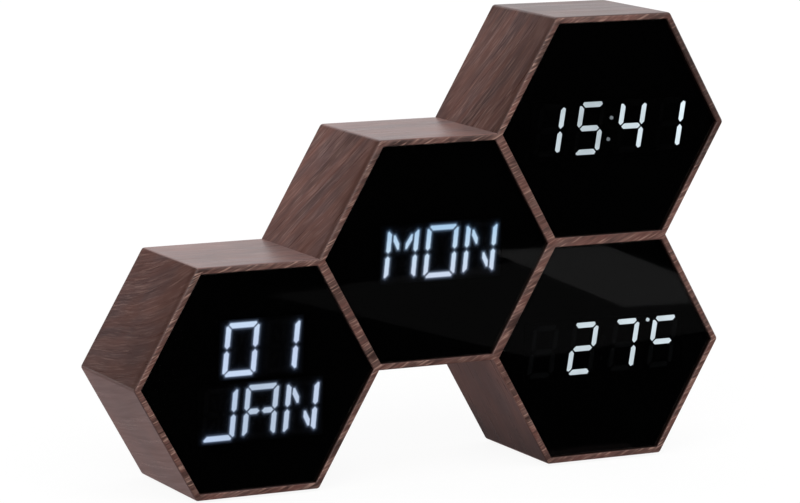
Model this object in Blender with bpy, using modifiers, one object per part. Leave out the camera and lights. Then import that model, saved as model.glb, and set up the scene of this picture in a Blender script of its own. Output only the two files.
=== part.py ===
# Desk clock with four hexagonal display cells in one wooden honeycomb case.
# Metres, +Z up, the displays face -Y. The origin is at the middle of the base, on the table.
# Depths run along +Y from the front of the wooden rim. X and Z run from a cell's centre.

import math

import bmesh
import bpy
from mathutils import Matrix, Vector

# Driving dimensions of the case
CASE_DEPTH = 0.059
SIDE_RIM = 0.0028  # width of the wooden rim round the outside
SHARED_RIM = 0.0040  # width of the wooden rim between two cells
LEDGE = 0.0030  # step in the wall that the lens frame and the cover seat on
EDGE_ROUND = 0.0010  # rounding of the veneered outer edges
EDGE_ROUND_STEPS = 2
RIM_BREAK = 0.0003  # broken inner edge of the front rim
WIRE_HOLE_RADIUS = 0.0040
WIRE_HOLE_DEPTH = 0.0300  # from the front to the axis of the wire holes

# Gaps between pieces, how far cutters and joined shapes run on, and how near points are one
SEAT_GAP = 0.0003
RUNNING_GAP = 0.0003
OVERRUN = 0.0010
ROOT = 0.0005
SAME_POINT = 0.00001

# Foot pads
PAD_WIDTH = 0.044
PAD_DEPTH = 0.044
PAD_THICKNESS = 0.0008
PAD_CORNER = 0.006

# Front lens and the frame behind it
LENS_RECESS = 0.0005
LENS_THICKNESS = 0.0020
FLANGE_THICKNESS = 0.0018
POST_RADIUS = 0.0035
POST_SPACE = 0.0034  # from a screw post to the two walls of its corner
POST_BEARINGS = (120, 300)
PILOT_DEPTH = 0.010
STAKE_SPACE = 0.0061  # from a stake to the two walls of its corner
STAKE_BEARINGS = (60, 240)
STAKE_SHOULDER_RADIUS = 0.0025
STAKE_PIN_RADIUS = 0.0011
STAKE_HEAD_RADIUS = 0.0020
STAKE_HEAD_THICKNESS = 0.0009

# Seven-bar numerals of the time and the temperature
NUMERAL_COLUMN = 0.0109  # between the centre lines of the upright bars
NUMERAL_ROW = 0.0106  # between the centre lines of the level bars
NUMERAL_BAR = 0.0023
NUMERAL_GAP = 0.0006  # half the space between two bars, along a bar
NUMERAL_TIP = 0.0008  # how much is cut off a bar's outer corner
NUMERAL_SLANT = math.radians(8.6)
NUMERAL_PITCH = 0.0204
COLON_SPACE = 0.0010  # extra space for the colon between the middle numerals
DOT_RADIUS = 0.0010
COLON_HEIGHT = 0.0048  # from the colon's middle to its dots
COLON_DROP = 0.0006  # from the numerals' middle down to the colon's
POINT_SHIFT = 0.0007  # from midway between the last two numerals to the degree point

# Fourteen-bar characters of the date and the day
LETTER_COLUMN = 0.0134
LETTER_ROW = 0.0105
LETTER_BAR = 0.0027
LETTER_GAP = 0.0003
LETTER_TIP = 0.0012
LETTER_CENTRE_BAR = 0.0018  # width of the upright bars in the middle
LETTER_SLANT = math.radians(5.5)
LETTER_PITCH = 0.0195
DIAGONAL_WIDTH = 0.0009
DIAGONAL_RISE = 0.0026

# The light guides and the masks round them
SLOT_CLEARANCE = 0.00015
MASK_MARGIN = 0.0014
MASK_FACE = 0.0010
MASK_DEPTH = 0.0080
MASK_WALL = 0.0010
MASK_BORDER = 0.00605  # from the corners of the numerals' mask to the edge of the lens
GUIDE_BASE = 0.0010

# Where the middle of each display sits in its cell, as (x, z)
TIME_PLACE = (0.0010, 0.0001)
TEMPERATURE_PLACE = (-0.0003, 0.0003)
DAY_PLACE = (0.0025, -0.0002)
DATE_X = 0.0022
MONTH_X = 0.0019
ROWS_MIDDLE = -0.0002
ROW_SPACE = 0.0013  # between the masks of the date and the month

# Circuit boards and the sockets for the wires between them
BOARD_THICKNESS = 0.0016
BOARD_CLEARANCE = 0.0010
HOLE_CLEARANCE = 0.0004
SOCKET_REACH = 0.024  # from the cell's centre to a wire socket
SOCKET_SIZE = 0.0070
SOCKET_HEIGHT = 0.0060
DRIVER_LENGTH = 0.0100
DRIVER_WIDTH = 0.0060
DRIVER_HEIGHT = 0.0016
CONTROL_HEIGHT = 0.060
CONTROL_CLEARANCE = 0.0014  # from the control board's corners to the case
CONTROL_BOSS_INSET = 0.0035  # from the control board's edges to the axes of its bosses
CONTROL_STANDOFF = 0.0078  # from the control board to the rear cover
WIRE_RADIUS = 0.0011
WIRE_LEAD = 0.0025

# Rear cover and its screws
COVER_RECESS = 0.0020
COVER_THICKNESS = 0.0026
COVER_CHAMFER = 0.0004
SCREW_RADIUS = 0.0012
SCREW_HEAD_RADIUS = 0.0024
SCREW_HEAD_HEIGHT = 0.0013
SCREW_LENGTH = 0.0095
VENT_LENGTH = 0.016
VENT_WIDTH = 0.0015
VENT_PITCH = 0.0030
VENT_COUNT = 3
VENT_X = 0
VENT_SPACE = 0.0037  # from the top of the buttons to the lowest vent's axis
SOUND_HOLE_RADIUS = 0.0009
SOUND_HOLE_REACH = 0.0032

# Push buttons and the switches under them
BUTTON_RADIUS = 0.0038
BUTTON_PITCH = 0.017
BUTTON_COUNT = 3
BUTTON_INSET = 0.0105  # from the control board's upper edge to the buttons
BUTTON_PROUD = 0.0006  # how far a cap stands out of the cover
BUTTON_ROUND = 0.0006
BUTTON_FLANGE = 0.0010  # how far the flange reaches past the cap
BUTTON_FLANGE_THICKNESS = 0.0009
BUTTON_STEM_RADIUS = 0.0017
BUTTON_TRAVEL = 0.0005
SWITCH_SIZE = 0.0060
SWITCH_HEIGHT = 0.0031
PLUNGER_RADIUS = 0.0016
PLUNGER_PROUD = 0.0007
PLUNGER_IN = 0.0010

# Coin cell, its holder and its twist-lock cover
COIN_RADIUS = 0.0100
COIN_THICKNESS = 0.0032
COIN_EDGE = 0.0004
COIN_INSET_X = 0.018  # from the control board's left edge
COIN_INSET_Z = 0.021  # from the control board's lower edge
HOLDER_WALL = 0.0022
HOLDER_FLOOR = 0.0008
HOLDER_NOTCH = 0.010
CONTACT_WIDTH = 0.0050
CONTACT_THICKNESS = 0.0004
CONTACT_REACH = 0.0060  # how far the contact reaches in over the coin cell
CAP_RADIUS = 0.0122
CAP_FACE = 0.0014
CAP_WALL = 0.0016
LUG_REACH = 0.0020
LUG_THICKNESS = 0.0012
LUG_ANGLE = math.radians(20)
LUG_BEARING = math.radians(60)
LUG_COUNT = 3
UNLOCK_ANGLE = math.radians(40)
NOTCH_EXTRA_ANGLE = math.radians(3)
COIN_SLOT_LENGTH = 0.014
COIN_SLOT_WIDTH = 0.0018
COIN_SLOT_DEPTH = 0.0008

# Power inlet, buzzer, sensor and controller
JACK_SIZE = 0.0090
JACK_NOSE_RADIUS = 0.0039
JACK_BORE_RADIUS = 0.0030
JACK_FLOOR = 0.0016
JACK_PIN_RADIUS = 0.0010
JACK_PIN_SINK = 0.0010
JACK_INSET = 0.011  # from the control board's right and lower edges
BUZZER_RADIUS = 0.0060
BUZZER_HEIGHT = 0.0062
BUZZER_HOLE_RADIUS = 0.0010
BUZZER_HOLE_DEPTH = 0.0012
BUZZER_INSET = 0.014  # from the control board's right edge
BUZZER_Z = 0.002
SENSOR_BEAD_RADIUS = 0.0013
SENSOR_LEG_RADIUS = 0.0003
SENSOR_LEG_SPREAD = 0.0008
SENSOR_HEIGHT = 0.0050
CHIP_SIZE = 0.0080
CHIP_HEIGHT = 0.0014
CHIP_CHAMFER = 0.0004
CHIP_X = 0.003
CHIP_Z = 0.006

# How many sides round pieces have
FINE_SIDES = 20
ROUND_SIDES = 12
SMALL_SIDES = 8
SHARP_ANGLE = math.radians(50)

# Layout of the cells: bearing from the day cell's centre, and the case's corners counter-clockwise
HEX_CORNERS = range(0, 360, 60)
CELL_BEARINGS = {"date": 210, "time": 30, "temperature": -30}
CASE_CORNERS = (
    ("date", 180), ("date", 240), ("date", 300), ("day", 240), ("day", 300),
    ("temperature", 240), ("temperature", 300), ("temperature", 0), ("temperature", 60),
    ("time", 0), ("time", 60), ("time", 120), ("time", 180),
    ("day", 120), ("day", 180), ("date", 120),
)
WIRE_WALLS = (("date", "day"), ("day", "temperature"), ("time", "temperature"))

# Sizes that follow from the ones above
COS_30 = math.cos(math.radians(30))
CASE_GROWTH = SIDE_RIM - SHARED_RIM / 2  # from the lattice of cells out to the case's face
NUMERAL_TOP = NUMERAL_ROW + NUMERAL_BAR / 2
NUMERAL_EDGE = (NUMERAL_COLUMN + NUMERAL_BAR) / 2 + NUMERAL_TOP * math.tan(NUMERAL_SLANT)
NUMERAL_REACH = (3 * NUMERAL_PITCH + COLON_SPACE) / 2 + NUMERAL_EDGE
LETTER_TOP = LETTER_ROW + LETTER_BAR / 2
MASK_HALF_WIDTH = NUMERAL_REACH + MASK_MARGIN
MASK_HALF_HEIGHT = NUMERAL_TOP + MASK_MARGIN
LENS_APOTHEM = MASK_HALF_WIDTH * COS_30 + MASK_HALF_HEIGHT / 2 + MASK_BORDER
CELL_PITCH = 2 * LENS_APOTHEM + SHARED_RIM
OPENING_APOTHEM = LENS_APOTHEM - LEDGE
POST_REACH = (OPENING_APOTHEM - POST_SPACE - POST_RADIUS) / COS_30
STAKE_REACH = (OPENING_APOTHEM - STAKE_SPACE - STAKE_SHOULDER_RADIUS) / COS_30
LENS_BACK = LENS_RECESS + LENS_THICKNESS
FLANGE_FRONT = LENS_BACK + SEAT_GAP
FLANGE_BACK = FLANGE_FRONT + FLANGE_THICKNESS
FRONT_LEDGE = FLANGE_BACK + SEAT_GAP
MASK_BACK = FLANGE_FRONT + MASK_DEPTH
GUIDE_FRONT = FLANGE_FRONT + MASK_FACE + SEAT_GAP
BOARD_FRONT = MASK_BACK + SEAT_GAP
BOARD_BACK = BOARD_FRONT + BOARD_THICKNESS
COVER_BACK = CASE_DEPTH - COVER_RECESS
COVER_FRONT = COVER_BACK - COVER_THICKNESS
REAR_LEDGE = COVER_FRONT - SEAT_GAP
CONTROL_BACK = COVER_FRONT - CONTROL_STANDOFF
CONTROL_FRONT = CONTROL_BACK - BOARD_THICKNESS
ON_CONTROL = CONTROL_BACK + SEAT_GAP  # where what is soldered on the control board starts
ROW_STEP = LETTER_TOP + MASK_MARGIN + ROW_SPACE / 2
DATE_PLACE = (DATE_X, ROWS_MIDDLE + ROW_STEP)
MONTH_PLACE = (MONTH_X, ROWS_MIDDLE - ROW_STEP)
CONTROL_WIDTH = 2 * (OPENING_APOTHEM - CONTROL_CLEARANCE - CONTROL_HEIGHT / 4) / COS_30
BUTTON_Z = CONTROL_HEIGHT / 2 - BUTTON_INSET
COIN_PLACE = (COIN_INSET_X - CONTROL_WIDTH / 2, COIN_INSET_Z - CONTROL_HEIGHT / 2)
JACK_PLACE = (CONTROL_WIDTH / 2 - JACK_INSET, JACK_INSET - CONTROL_HEIGHT / 2)
VENT_PLACE = (VENT_X, BUTTON_Z + BUTTON_RADIUS + VENT_SPACE)
BUZZER_PLACE = (CONTROL_WIDTH / 2 - BUZZER_INSET, BUZZER_Z)
CHIP_PLACE = (CHIP_X, CHIP_Z)
CASE_BASE = PAD_THICKNESS + SEAT_GAP
DAY_HEIGHT = CASE_BASE + CASE_GROWTH + CELL_PITCH


def direction(bearing):
    """The unit vector in the front plane at this bearing in degrees, counter-clockwise from X."""
    angle = math.radians(bearing)
    return Vector((math.cos(angle), math.sin(angle)))


def cell_centre(cell):
    """A cell's centre, from the day cell's centre."""
    return CELL_PITCH * direction(CELL_BEARINGS[cell]) if cell in CELL_BEARINGS else Vector((0, 0))


def moved(points, place):
    return [(x + place[0], z + place[1]) for x, z in points]


# Outlines in the front plane

def hexagon(apothem):
    return [apothem / COS_30 * direction(bearing) for bearing in HEX_CORNERS]


def rectangle(width, height):
    x = width / 2
    z = height / 2
    return [(-x, -z), (x, -z), (x, z), (-x, z)]


def rounded_rectangle(width, height, corner, steps):
    points = []
    for quarter, (x, z) in enumerate(((1, 1), (-1, 1), (-1, -1), (1, -1))):
        for step in range(steps + 1):
            angle = math.pi / 2 * (quarter + step / steps)
            points.append((x * (width / 2 - corner) + corner * math.cos(angle),
                           z * (height / 2 - corner) + corner * math.sin(angle)))
    return points


def circle(radius, sides):
    return [radius * direction(360 * side / sides) for side in range(sides)]


def signed_area(points):
    """Positive where the outline runs counter-clockwise."""
    return sum(x * w - y * z for (x, z), (y, w) in zip(points, points[1:] + points[:1])) / 2


def grown(points, distance):
    """The outline with each edge moved outwards by distance."""
    outward = math.copysign(1, signed_area(points)) * distance
    lines = []
    for (x, z), (x_next, z_next) in zip(points, points[1:] + points[:1]):
        along = Vector((x_next - x, z_next - z)).normalized()
        lines.append((Vector((x, z)) + outward * Vector((along.y, -along.x)), along))
    corners = []
    for (start, along), (start_next, along_next) in zip(lines[-1:] + lines[:-1], lines):
        turn = along.cross(along_next)
        corners.append(tuple(start + along * ((start_next - start).cross(along_next) / turn)))
    return corners


def case_outline(growth):
    """The outline of the four cells together, grown from the lattice that their walls follow."""
    lattice = []
    for cell, bearing in CASE_CORNERS:
        lattice.append(cell_centre(cell) + CELL_PITCH / 2 / COS_30 * direction(bearing))
    return grown(lattice, growth)


def keyed_circle(radius, key_radius, key_angle, bearings, sides):
    """A circle with sector-shaped notches of the given angle that reach out to key_radius."""
    points = []
    for bearing in bearings:
        start = bearing + key_angle / 2
        span = 2 * math.pi / len(bearings) - key_angle
        arcs = ((bearing - key_angle / 2, key_angle, key_radius), (start, span, radius))
        for first, sweep, reach in arcs:
            steps = max(2, round(sides * sweep / (2 * math.pi)))
            for step in range(steps + 1):
                angle = first + sweep * step / steps
                points.append((reach * math.cos(angle), reach * math.sin(angle)))
    return points


# Solids. Each maker gives a mesh whose axes are x, depth and z.

def mesh_object(name, mesh, place=(0, 0), depth=0.0):
    shape = bpy.data.objects.new(name, mesh)
    shape.location = (place[0], depth, place[1])
    return shape


def plate(name, outlines, front, back, place=(0, 0)):
    """A flat outline, with any further outlines as holes, filled between two depths."""
    curve = bpy.data.curves.new(name, "CURVE")
    curve.dimensions = "2D"
    curve.fill_mode = "BOTH"
    curve.extrude = (back - front) / 2
    for outline in outlines:
        spline = curve.splines.new("POLY")
        spline.points.add(len(outline) - 1)
        for point, (x, z) in zip(spline.points, outline):
            point.co = (x, z, 0, 1)
        spline.use_cyclic_u = True
    pattern = bpy.data.objects.new(name, curve)
    bpy.context.scene.collection.objects.link(pattern)
    evaluated = pattern.evaluated_get(bpy.context.evaluated_depsgraph_get())
    mesh = bpy.data.meshes.new_from_object(evaluated)
    bpy.data.objects.remove(pattern)
    mesh.name = name
    mesh.materials.clear()
    work = bmesh.new()
    work.from_mesh(mesh)
    bmesh.ops.remove_doubles(work, verts=work.verts, dist=SAME_POINT)
    upright = Matrix.Translation((0, (back - front) / 2, 0)) @ Matrix.Rotation(math.pi / 2, 4, "X")
    bmesh.ops.transform(work, matrix=upright, verts=work.verts)
    bmesh.ops.recalc_face_normals(work, faces=work.faces)
    work.to_mesh(mesh)
    work.free()
    return mesh_object(name, mesh, place, front)


def drums(name, places, radius, front, back, sides):
    """Upright cylinders along the depth, one at each place."""
    work = bmesh.new()
    for x, z in places:
        stand = Matrix.Translation((x, (back - front) / 2, z)) @ Matrix.Rotation(math.pi / 2, 4, "X")
        bmesh.ops.create_cone(work, cap_ends=True, segments=sides, radius1=radius, radius2=radius,
                              depth=back - front, matrix=stand)
    mesh = bpy.data.meshes.new(name)
    work.to_mesh(mesh)
    work.free()
    return mesh_object(name, mesh, (0, 0), front)


def blocks(name, places, width, height, front, back):
    """Boxes of one size, one at each place."""
    work = bmesh.new()
    for x, z in places:
        size = Matrix.Diagonal((width, back - front, height, 1))
        bmesh.ops.create_cube(work, size=1, matrix=Matrix.Translation((x, (back - front) / 2, z)) @ size)
    mesh = bpy.data.meshes.new(name)
    work.to_mesh(mesh)
    work.free()
    return mesh_object(name, mesh, (0, 0), front)


def turned(name, profile, place, depth, sides):
    """A profile of (radius, depth) points, from the back down to the front, turned about the depth axis."""
    mesh = bpy.data.meshes.new(name)
    mesh.from_pydata([(radius, 0, height) for radius, height in profile],
                     [(i, i + 1) for i in range(len(profile) - 1)], [])
    shape = mesh_object(name, mesh, place, depth)
    shape.rotation_euler = (-math.pi / 2, 0, 0)
    screw = shape.modifiers.new("turn", "SCREW")
    screw.axis = "Z"
    screw.steps = sides
    screw.render_steps = sides
    screw.use_merge_vertices = True
    screw.merge_threshold = SAME_POINT
    screw.use_smooth_shade = False
    return shape


def soften(shape, width, steps, chosen):
    """Bevels the edges of a plain plate that chosen picks, once its flat faces are whole."""
    work = bmesh.new()
    work.from_mesh(shape.data)
    bmesh.ops.dissolve_limit(work, angle_limit=math.radians(1), verts=work.verts, edges=work.edges)
    edges = [edge for edge in work.edges if chosen(edge)]
    bmesh.ops.bevel(work, geom=edges, offset=width, offset_type="OFFSET", segments=steps,
                    profile=0.5, affect="EDGES")
    work.to_mesh(shape.data)
    work.free()


def convex(edge):
    return edge.calc_face_angle_signed(0) > math.radians(20)


# The scene: every piece is in the clock's collection, and cutters and joined shapes in another

def empty_scene():
    for old in list(bpy.data.objects):
        bpy.data.objects.remove(old, do_unlink=True)
    for name in ("clock", "helpers"):
        collection = bpy.data.collections.new(name)
        bpy.context.scene.collection.children.link(collection)
    bpy.data.collections["helpers"].hide_render = True


def cell_empties():
    """One empty at each cell's centre, in the plane of the front rim."""
    empties = {}
    for cell in ("date", "day", "time", "temperature"):
        empty = bpy.data.objects.new("cell_" + cell, None)
        x, z = cell_centre(cell)
        empty.location = (x, -CASE_DEPTH / 2, DAY_HEIGHT + z)
        empty.empty_display_size = CELL_PITCH / 4
        bpy.data.collections["clock"].objects.link(empty)
        empties[cell] = empty
    return empties


def finish(name, colour, roughness, metallic=0.0):
    """The finish of that name, made the first time it is asked for."""
    found = bpy.data.materials.get(name)
    if found:
        return found
    material = bpy.data.materials.new(name)
    material.use_nodes = True
    shader = material.node_tree.nodes["Principled BSDF"]
    shader.inputs["Base Color"].default_value = (*colour, 1)
    shader.inputs["Roughness"].default_value = roughness
    shader.inputs["Metallic"].default_value = metallic
    return material


def veneer():
    return finish("walnut_veneer", (0.13, 0.075, 0.062), 0.45)


def smoked_acrylic():
    return finish("smoked_acrylic", (0.005, 0.005, 0.006), 0.05)


def black_abs():
    return finish("black_abs", (0.012, 0.012, 0.013), 0.5)


def diffuser():
    return finish("white_diffuser", (0.75, 0.80, 0.88), 0.6)


def green_board():
    return finish("green_board", (0.02, 0.12, 0.05), 0.4)


def steel():
    return finish("steel", (0.55, 0.55, 0.57), 0.3, 1.0)


def black_rubber():
    return finish("black_rubber", (0.02, 0.02, 0.02), 0.9)


def brass():
    return finish("brass", (0.78, 0.57, 0.28), 0.3, 1.0)


def wire_sleeve():
    return finish("wire_sleeve", (0.45, 0.45, 0.47), 0.6)


class Clock:
    """Puts pieces into the scene, each under the empty of its cell."""

    def __init__(self):
        empty_scene()
        self.cells = cell_empties()

    def add(self, shape, cell, material, joined=(), cut=()):
        """Shows a piece. The helpers are joined to it first, and then cut out of it."""
        bpy.data.collections["clock"].objects.link(shape)
        shape.parent = self.cells[cell]
        shape.data.materials.append(material)
        if shape.type == "MESH":
            shape.data.shade_smooth()
            shape.data.set_sharp_from_angle(angle=SHARP_ANGLE)
        for operation, helpers in (("UNION", joined), ("DIFFERENCE", cut)):
            for helper in helpers:
                bpy.data.collections["helpers"].objects.link(helper)
                helper.parent = self.cells[cell]
                helper.hide_render = True
                helper.display_type = "WIRE"
                boolean = shape.modifiers.new(helper.name, "BOOLEAN")
                boolean.operation = operation
                boolean.solver = "EXACT"
                boolean.object = helper
        return shape


# Wooden case: one honeycomb of veneered board, with a ledge in front and behind in every cell

def wood_case(clock):
    case = plate("wood_case", [case_outline(CASE_GROWTH)], 0.0, CASE_DEPTH)
    soften(case, EDGE_ROUND, EDGE_ROUND_STEPS, convex)
    centres = [cell_centre(cell) for cell in clock.cells]
    openings = [cell_opening(cell, centre) for cell, centre in zip(clock.cells, centres)]
    rear = plate("case_rear_rebate", [case_outline(CASE_GROWTH - SIDE_RIM)],
                 REAR_LEDGE, CASE_DEPTH + OVERRUN)
    clock.add(case, "day", veneer(), cut=[rear, *openings, wire_holes()])


def cell_opening(cell, centre):
    """Cutter for a cell: its opening, the wider rebate in front and the slope that breaks the rim."""
    stations = [
        (0, CASE_DEPTH + OVERRUN), (OPENING_APOTHEM, CASE_DEPTH + OVERRUN), (OPENING_APOTHEM, FRONT_LEDGE),
        (LENS_APOTHEM, FRONT_LEDGE), (LENS_APOTHEM, RIM_BREAK),
        (LENS_APOTHEM + RIM_BREAK + OVERRUN, -OVERRUN), (0, -OVERRUN),
    ]
    profile = [(apothem / COS_30, depth) for apothem, depth in stations]
    return turned("case_opening_" + cell, profile, centre, 0.0, len(HEX_CORNERS))


def wire_holes():
    """Cutter for the holes that carry the wires through the shared walls."""
    work = bmesh.new()
    through = 2 * LEDGE + SHARED_RIM + 2 * OVERRUN
    for first, second in WIRE_WALLS:
        a = cell_centre(first)
        b = cell_centre(second)
        middle = (a + b) / 2
        along = (b - a).normalized()
        aim = Vector((along.x, 0, along.y)).to_track_quat("Z", "Y").to_matrix().to_4x4()
        stand = Matrix.Translation((middle.x, WIRE_HOLE_DEPTH, middle.y)) @ aim
        bmesh.ops.create_cone(work, cap_ends=True, segments=ROUND_SIDES, radius1=WIRE_HOLE_RADIUS,
                              radius2=WIRE_HOLE_RADIUS, depth=through, matrix=stand)
    mesh = bpy.data.meshes.new("case_wire_holes")
    work.to_mesh(mesh)
    work.free()
    return mesh_object("case_wire_holes", mesh)


def foot_pads(clock):
    """A thin anti-slip pad under each of the two cells that stand on the table."""
    outline = rounded_rectangle(PAD_WIDTH, PAD_DEPTH, PAD_CORNER, 4)
    below = -(CELL_PITCH / 2 + CASE_GROWTH + SEAT_GAP + PAD_THICKNESS)
    for cell in ("date", "temperature"):
        pad = plate("foot_pad_" + cell, [outline], 0.0, PAD_THICKNESS)
        pad.data.transform(Matrix.Rotation(math.pi / 2, 4, "X"))
        pad.location = (0, CASE_DEPTH / 2, below)
        clock.add(pad, cell, black_rubber())


# Front of a cell: smoked lens, and the black frame that holds the display and takes the cover's screws

def front_lens(clock, cell):
    lens = plate("lens_" + cell, [hexagon(LENS_APOTHEM - SEAT_GAP)], LENS_RECESS, LENS_BACK)
    clock.add(lens, cell, smoked_acrylic())


def post_places():
    return [POST_REACH * direction(bearing) for bearing in POST_BEARINGS]


def stake_places():
    return [STAKE_REACH * direction(bearing) for bearing in STAKE_BEARINGS]


def inner_frame(clock, cell, windows):
    flange = plate("inner_frame_" + cell, [hexagon(LENS_APOTHEM - SEAT_GAP), *windows],
                   FLANGE_FRONT, FLANGE_BACK)
    start = FLANGE_BACK - ROOT
    pin_end = BOARD_BACK + SEAT_GAP
    head_end = pin_end + STAKE_HEAD_THICKNESS
    posts = drums("posts_" + cell, post_places(), POST_RADIUS, start, REAR_LEDGE, ROUND_SIDES)
    shoulders = drums("shoulders_" + cell, stake_places(), STAKE_SHOULDER_RADIUS, start,
                      BOARD_FRONT - SEAT_GAP, SMALL_SIDES)
    pins = drums("pins_" + cell, stake_places(), STAKE_PIN_RADIUS, start, pin_end + ROOT, SMALL_SIDES)
    heads = drums("heads_" + cell, stake_places(), STAKE_HEAD_RADIUS, pin_end, head_end, SMALL_SIDES)
    pilots = drums("pilots_" + cell, post_places(), SCREW_RADIUS + RUNNING_GAP,
                   REAR_LEDGE - PILOT_DEPTH, REAR_LEDGE + OVERRUN, SMALL_SIDES)
    clock.add(flange, cell, black_abs(), joined=[posts, shoulders, pins, heads], cut=[pilots])


# Display characters: outlines of the light bars, drawn about the character's centre

def outer_bars(column, row, bar, gap, tip):
    """The six outer bars of a character, mitred where they meet, with points halfway up.

    They keep the gap on both sides of each mitre, and tip is cut off every outer corner.
    """
    half = column / 2
    t = bar / 2
    end = half + t - gap - tip
    high = row + t - gap - tip
    top = [(half - t - gap, row - t), (end, row + t - tip), (end - tip / 2, row + t)]
    top += [(-x, z) for x, z in reversed(top)]
    side = [(half - t, gap + t), (half, gap), (half + t, gap + t), (half + t, high - tip / 2),
            (half + t - tip, high), (half - t, row - t - gap)]
    bars = [top, [(x, -z) for x, z in top]]
    bars += [[(x * across, z * up) for x, z in side] for across in (1, -1) for up in (1, -1)]
    return bars


def level_bar(start, end, bar):
    """A level bar with a point at each end."""
    t = bar / 2
    return [(start, 0), (start + t, -t), (end - t, -t), (end, 0), (end - t, t), (start + t, t)]


def seven_bars():
    end = NUMERAL_COLUMN / 2 - NUMERAL_GAP
    bars = outer_bars(NUMERAL_COLUMN, NUMERAL_ROW, NUMERAL_BAR, NUMERAL_GAP, NUMERAL_TIP)
    return [*bars, level_bar(-end, end, NUMERAL_BAR)]


def fourteen_bars():
    """The outer bars, two half bars, two centre uprights and four diagonals."""
    half_bar = level_bar(LETTER_GAP, LETTER_COLUMN / 2 - LETTER_GAP, LETTER_BAR)
    low = LETTER_BAR / 2 + 2 * LETTER_GAP
    high = LETTER_ROW - low
    centre = LETTER_CENTRE_BAR / 2
    inner = centre + 2 * LETTER_GAP
    outer = LETTER_COLUMN / 2 - low
    upright = [(-centre, low), (centre, low), (centre, high), (-centre, high)]
    diagonal = [(inner, low), (inner + DIAGONAL_WIDTH, low), (outer, high - DIAGONAL_RISE), (outer, high),
                (outer - DIAGONAL_WIDTH, high), (inner, low + DIAGONAL_RISE)]
    bars = outer_bars(LETTER_COLUMN, LETTER_ROW, LETTER_BAR, LETTER_GAP, LETTER_TIP)
    bars += [[(x * across, z) for x, z in half_bar] for across in (1, -1)]
    bars += [[(x, z * up) for x, z in upright] for up in (1, -1)]
    bars += [[(x * across, z * up) for x, z in diagonal] for across in (1, -1) for up in (1, -1)]
    return bars


def slanted(points, slant):
    return [(x + z * math.tan(slant), z) for x, z in points]


def numeral_display():
    """Four numerals with a colon and a degree point: bars, and the display's half width and height."""
    middle = (NUMERAL_PITCH + COLON_SPACE) / 2
    centres = (-middle - NUMERAL_PITCH, -middle, middle, middle + NUMERAL_PITCH)
    bars = [moved(slanted(bar, NUMERAL_SLANT), (centre, 0)) for centre in centres for bar in seven_bars()]
    dots = [(0, COLON_HEIGHT - COLON_DROP), (0, -COLON_HEIGHT - COLON_DROP),
            (middle + NUMERAL_PITCH / 2 + POINT_SHIFT, NUMERAL_ROW)]
    for dot in slanted(dots, NUMERAL_SLANT):
        bars.append(moved(circle(DOT_RADIUS, SMALL_SIDES), dot))
    return bars, MASK_HALF_WIDTH, MASK_HALF_HEIGHT


def letter_display(count):
    """A row of fourteen-bar characters: bars, and the display's half width and height."""
    last = (count - 1) / 2 * LETTER_PITCH
    centres = [index * LETTER_PITCH - last for index in range(count)]
    bars = [moved(slanted(bar, LETTER_SLANT), (centre, 0)) for centre in centres for bar in fourteen_bars()]
    edge = (LETTER_COLUMN + LETTER_BAR) / 2 + LETTER_TOP * math.tan(LETTER_SLANT)
    return bars, last + edge + MASK_MARGIN, LETTER_TOP + MASK_MARGIN


def display_module(clock, cell, name, display, place, guided):
    """The black mask with a slot for each bar, and the white sheet behind it.

    On a guided display the sheet is a light guide, whose raised bars fill the slots.
    """
    bars, half_width, half_height = display
    body = rectangle(2 * half_width, 2 * half_height)
    room = grown(body, -MASK_WALL)
    mask = plate("mask_" + name, [body], FLANGE_FRONT, MASK_BACK, place)
    hollow = plate("mask_hollow_" + name, [room], FLANGE_FRONT + MASK_FACE, MASK_BACK + OVERRUN, place)
    openings = [grown(bar, SLOT_CLEARANCE) for bar in bars] if guided else bars
    slots = plate("mask_slots_" + name, openings, FLANGE_FRONT - OVERRUN,
                  FLANGE_FRONT + MASK_FACE + OVERRUN, place)
    clock.add(mask, cell, black_abs(), cut=[hollow, slots])
    raised = [plate("guide_bars_" + name, bars, FLANGE_FRONT, GUIDE_FRONT + ROOT, place)] if guided else []
    back_light = "light_guide_" if guided else "diffuser_"
    sheet = plate(back_light + name, [grown(room, -SEAT_GAP)], GUIDE_FRONT, GUIDE_FRONT + GUIDE_BASE, place)
    clock.add(sheet, cell, diffuser(), joined=raised)
    return moved(rectangle(2 * (half_width + SEAT_GAP), 2 * (half_height + SEAT_GAP)), place)


def display_board(clock, cell, socket_bearings):
    """The board behind a display, with its driver chip and a socket for each wire."""
    outline = hexagon(OPENING_APOTHEM - BOARD_CLEARANCE)
    holes = [moved(circle(POST_RADIUS + HOLE_CLEARANCE, ROUND_SIDES), p) for p in post_places()]
    holes += [moved(circle(STAKE_PIN_RADIUS + HOLE_CLEARANCE, SMALL_SIDES), p) for p in stake_places()]
    board = plate("display_board_" + cell, [outline, *holes], BOARD_FRONT, BOARD_BACK)
    start = BOARD_BACK - ROOT
    sockets = blocks("sockets_" + cell, [SOCKET_REACH * direction(b) for b in socket_bearings],
                     SOCKET_SIZE, SOCKET_SIZE, start, BOARD_BACK + SOCKET_HEIGHT)
    driver = blocks("driver_" + cell, [(0, 0)], DRIVER_LENGTH, DRIVER_WIDTH, start,
                    BOARD_BACK + DRIVER_HEIGHT)
    clock.add(board, cell, green_board(), joined=[sockets, driver])


# Control board behind the temperature cell

def boss_places():
    return rectangle(CONTROL_WIDTH - 2 * CONTROL_BOSS_INSET, CONTROL_HEIGHT - 2 * CONTROL_BOSS_INSET)


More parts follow.
